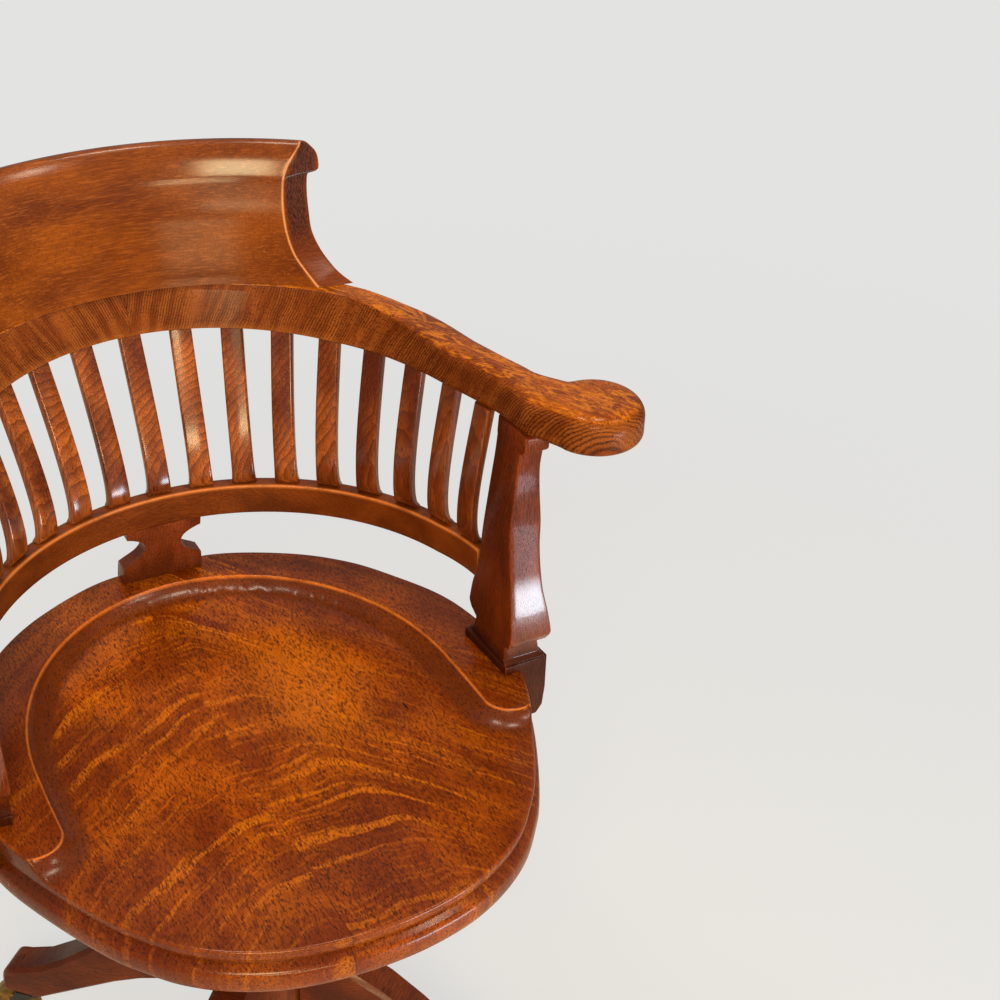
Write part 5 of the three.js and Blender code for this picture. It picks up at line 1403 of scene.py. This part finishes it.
ironPieces = [("seat_iron", "seat", 0.8), ("tilt_yoke", "yoke", 1.0), ("handwheel", "handwheel", 1.6),
              ("tension_nut_left", "seat", 0.7), ("tension_nut_right", "seat", 0.7)]
ironPieces += [(f"castor_horn_{k}", f"castor_{k}", 0.9) for k in range(1, 5)]
for node, body, ease in ironPieces:
    finished(easedNode(node, node + "_cast", ease), body, [node], castIron, 40)
steelPieces = [("tilt_pin", "yoke", 0.8), ("set_screw", "yoke", 0.6), ("spindle_key", "base", 0.5),
               ("spindle", "spindle", 0.6), ("tension_rod_left", "seat", 0.5), ("tension_rod_right", "seat", 0.5)]
steelPieces += [(f"seat_screw_{k}", "seat", 0.6) for k in range(1, 5)]
steelPieces += [(f"castor_axle_{k}", f"castor_{k}", 1.0) for k in range(1, 5)]
for node, body, ease in steelPieces:
    finished(easedNode(node, node + "_bright", ease), body, [node], oldSteel, 40)

wheelShape = {
    "reach": 276.0, "radius": 25.0,
    "rows": [(-11, 4.2), (-11, 8.6), (-10.2, 9.6), (-8.2, 10.6), (-7.6, 12), (-7.6, 17.4), (-8.2, 19), (-10.2, 20.4),
             (-11, 21.8), (-11, 23.2), (-10.4, 24.2), (-9.0, 24.8), (-6.0, 25.0), (-3.0, 25.0)],
}


def makeWheel(k):
    w = wheelShape
    turn = (k - 0.5) * math.pi / 2
    out = Vector((math.cos(turn), math.sin(turn), 0))
    axis = Vector((-math.sin(turn), math.cos(turn), 0))
    centre = out * w["reach"] + Vector((0, 0, w["radius"]))
    rows = w["rows"] + [(-a, r) for a, r in w["rows"][::-1]] + w["rows"][:1]
    rings = [[tuple(centre + axis * a + out * (r * math.cos(t)) + Vector((0, 0, r * math.sin(t))))
              for t in np.arange(72) * math.pi / 36] for a, r in rows]
    verts = [v for ring in rings for v in ring]
    return cleaned(newPiece(f"brass_wheel_{k}", verts, gridFaces(len(rings), 72, closed=True)))


for k in range(1, 5):
    finished(makeWheel(k), f"wheel_{k}", [f"castor_wheel_{k}"], oldBrass, 40)


def makeCoilTree():
    tree, given, put = geometryTree("coil", [
        ("Coil Radius", "Float"), ("Wire Radius", "Float"), ("Height", "Float"), ("Turns", "Float"),
        ("Count", "Int"), ("Place", "Vector"), ("Step", "Vector"), ("Material", "Material")])
    path = addNode(tree, "GeometryNodeCurveSpiral", {
        "Resolution": 40, "Rotations": given["Turns"], "Start Radius": given["Coil Radius"],
        "End Radius": given["Coil Radius"], "Height": given["Height"]}).outputs[0]
    wire = addNode(tree, "GeometryNodeCurvePrimitiveCircle", {
        "Resolution": 12, "Radius": given["Wire Radius"]}).outputs[0]
    solid = addNode(tree, "GeometryNodeCurveToMesh", {
        "Curve": path, "Profile Curve": wire, "Fill Caps": True}).outputs[0]
    row = addNode(tree, "GeometryNodeMeshLine", {
        "Count": given["Count"], "Start Location": given["Place"], "Offset": given["Step"]}).outputs[0]
    each = addNode(tree, "GeometryNodeInstanceOnPoints", {"Points": row, "Instance": solid}).outputs[0]
    return endTree(tree, each, given, put)


coilTree = makeCoilTree()
rodPlace = {"x": 60.0, "y": -95.0}
coilRows = [
    # name, body, nodes it stands for, coil radius, wire radius, foot, height, turns, count
    ("springs", "seat", ["spring_left", "spring_right"], 12.0, 1.6, 314.0, 56.0, 7.0, 2),
    ("spindle_thread", "spindle", [], 11.85, 0.5, 152.0, 152.0, 152 / 6, 1),
    ("rod_threads", "seat", [], 4.35, 0.32, 293.0, 56.0, 32.0, 2),
]
for name, body, nodes, coil, wire, foot, height, turns, count in coilRows:
    x, y = (-rodPlace["x"], rodPlace["y"]) if count == 2 else (0, 0)
    piece = runTree(name, coilTree, {
        "Coil Radius": coil * mm, "Wire Radius": wire * mm, "Height": height * mm, "Turns": turns, "Count": count,
        "Place": (x * mm, y * mm + axisY, foot * mm), "Step": (2 * rodPlace["x"] * mm, 0, 0), "Material": oldSteel})
    finished(cleaned(piece, 0.000005), body, nodes, oldSteel, 60)
    if name == "springs":
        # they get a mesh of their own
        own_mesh(piece)
print("stage: base and mechanism")


# ---- floor, light and camera ----

paleTone = tone(227, 227, 226)
floorLook = {
    "reach": 30.0, "sides": 64, "low": tone(238, 239, 240), "high": tone(242, 243, 245),
    # how far out the floor starts to look like the backdrop, and where it does so wholly
    "fadeFrom": 0.45, "fadeTo": 2.3, "nearShare": 0.8,
}


def makeFloor():
    look = floorLook
    turns = [2 * math.pi * k / look["sides"] for k in range(look["sides"])]
    mesh = bpy.data.meshes.new("floor")
    mesh.from_pydata([(look["reach"] * math.cos(t), look["reach"] * math.sin(t), 0) for t in turns], [],
                     [tuple(range(look["sides"]))])
    material, tree, surface = newMaterial("paleFloor")
    place = addNode(tree, "ShaderNodeTexCoord").outputs["Object"]
    setInputs(surface, {"Roughness": 0.9, "Specular IOR Level": 0.0})
    colour = mixed(tree, speckle(tree, place, 3.0, 3.0), look["low"], look["high"])
    tree.links.new(colour, surface.inputs["Base Color"])
    glow = addNode(tree, "ShaderNodeEmission", {"Color": paleTone, "Strength": 1.0})
    far = fade(tree, lengthOf(tree, place), look["fadeFrom"], look["fadeTo"], look["nearShare"], 1.0)
    ray = addNode(tree, "ShaderNodeLightPath").outputs["Is Camera Ray"]
    blend = addNode(tree, "ShaderNodeMixShader", {
        0: times(tree, far, ray), 1: surface.outputs[0], 2: glow.outputs[0]})
    tree.links.new(blend.outputs[0], tree.nodes["Material Output"].inputs["Surface"])
    mesh.materials.append(material)
    floor = linked("floor", mesh)


def makeWorld():
    scene.world = bpy.data.worlds.new("room")
    scene.world.use_nodes = True
    tree = scene.world.node_tree
    sky = tree.nodes["Background"]
    setInputs(sky, {"Color": paleTone})
    paths = addNode(tree, "ShaderNodeLightPath").outputs
    seen = plus(tree, paths["Is Camera Ray"], paths["Is Transmission Ray"], clamp=True)
    seen = plus(tree, seen, times(tree, paths["Is Glossy Ray"], 0.4), clamp=True)
    tree.links.new(fade(tree, seen, 0.0, 1.0, 0.3, 1.0), sky.inputs["Strength"])


lampRows = [
    # name, place, aim, size, watts, colour
    ("ceiling_middle", (0.45, -0.15, 2.7), (0.05, 0.0, 0.5), (0.34, 0.34), 12.5, (1.0, 0.88, 0.68)),
    ("ceiling_side", (-0.26, 0.16, 2.7), (0.0, 0.0, 0.5), (0.3, 0.3), 12.0, (1.0, 0.88, 0.68)),
    ("ceiling_front", (1.2, -0.95, 2.6), (0.2, 0.0, 0.5), (0.3, 0.3), 9.0, (1.0, 0.9, 0.72)),
    ("room_left", (-1.0, -2.12, 2.25), (0.1, 0.25, 0.8), (1.0, 0.3), 56.0, (1.0, 0.79, 0.42)),
    ("room_front", (-0.5, -2.4, 1.32), (0.05, 0.25, 0.66), (1.1, 0.24), 23.0, (1.0, 0.76, 0.4)),
    ("window_low", (0.95, -1.5, 0.16), (0.235, -0.04, 0.52), (0.72, 0.28), 21.0, (0.74, 0.89, 1.0)),
]


def makeLamps():
    for name, place, aim, size, watts, colour in lampRows:
        data = bpy.data.lights.new(name, "AREA")
        data.shape = "RECTANGLE"
        data.size, data.size_y = size
        data.energy = watts
        data.color = colour
        lamp = linked(name, data)
        lamp.location = place
        lamp.visible_camera = False
        lamp.rotation_euler = (Vector(aim) - Vector(place)).to_track_quat("-Z", "Y").to_euler()


cameraView = {
    "place": (-414.016, -1131.315, 1437.037), "yaw": 0.517, "pitch": 0.559, "roll": -0.044, "lens": 64.923,
}


def makeCamera():
    v = cameraView
    cy, sy, cp, sp = math.cos(v["yaw"]), math.sin(v["yaw"]), math.cos(v["pitch"]), math.sin(v["pitch"])
    forward = Vector((sy * cp, cy * cp, -sp))
    level = Vector((cy, -sy, 0))
    down = forward.cross(level)
    right = level * math.cos(v["roll"]) + down * math.sin(v["roll"])
    below = down * math.cos(v["roll"]) - level * math.sin(v["roll"])
    data = bpy.data.cameras.new("camera")
    data.lens = v["lens"]
    data.sensor_width = 36.0
    x, y, z = v["place"]
    turn = Matrix((right, -below, -forward)).transposed().to_4x4()
    scene.camera = linked("camera", data)
    scene.camera.matrix_world = Matrix.Translation((x * mm, y * mm + axisY, z * mm)) @ turn


makeFloor()
makeWorld()
makeLamps()
makeCamera()
scene.view_settings.view_transform = "Standard"
print("stage: floor, light and camera")
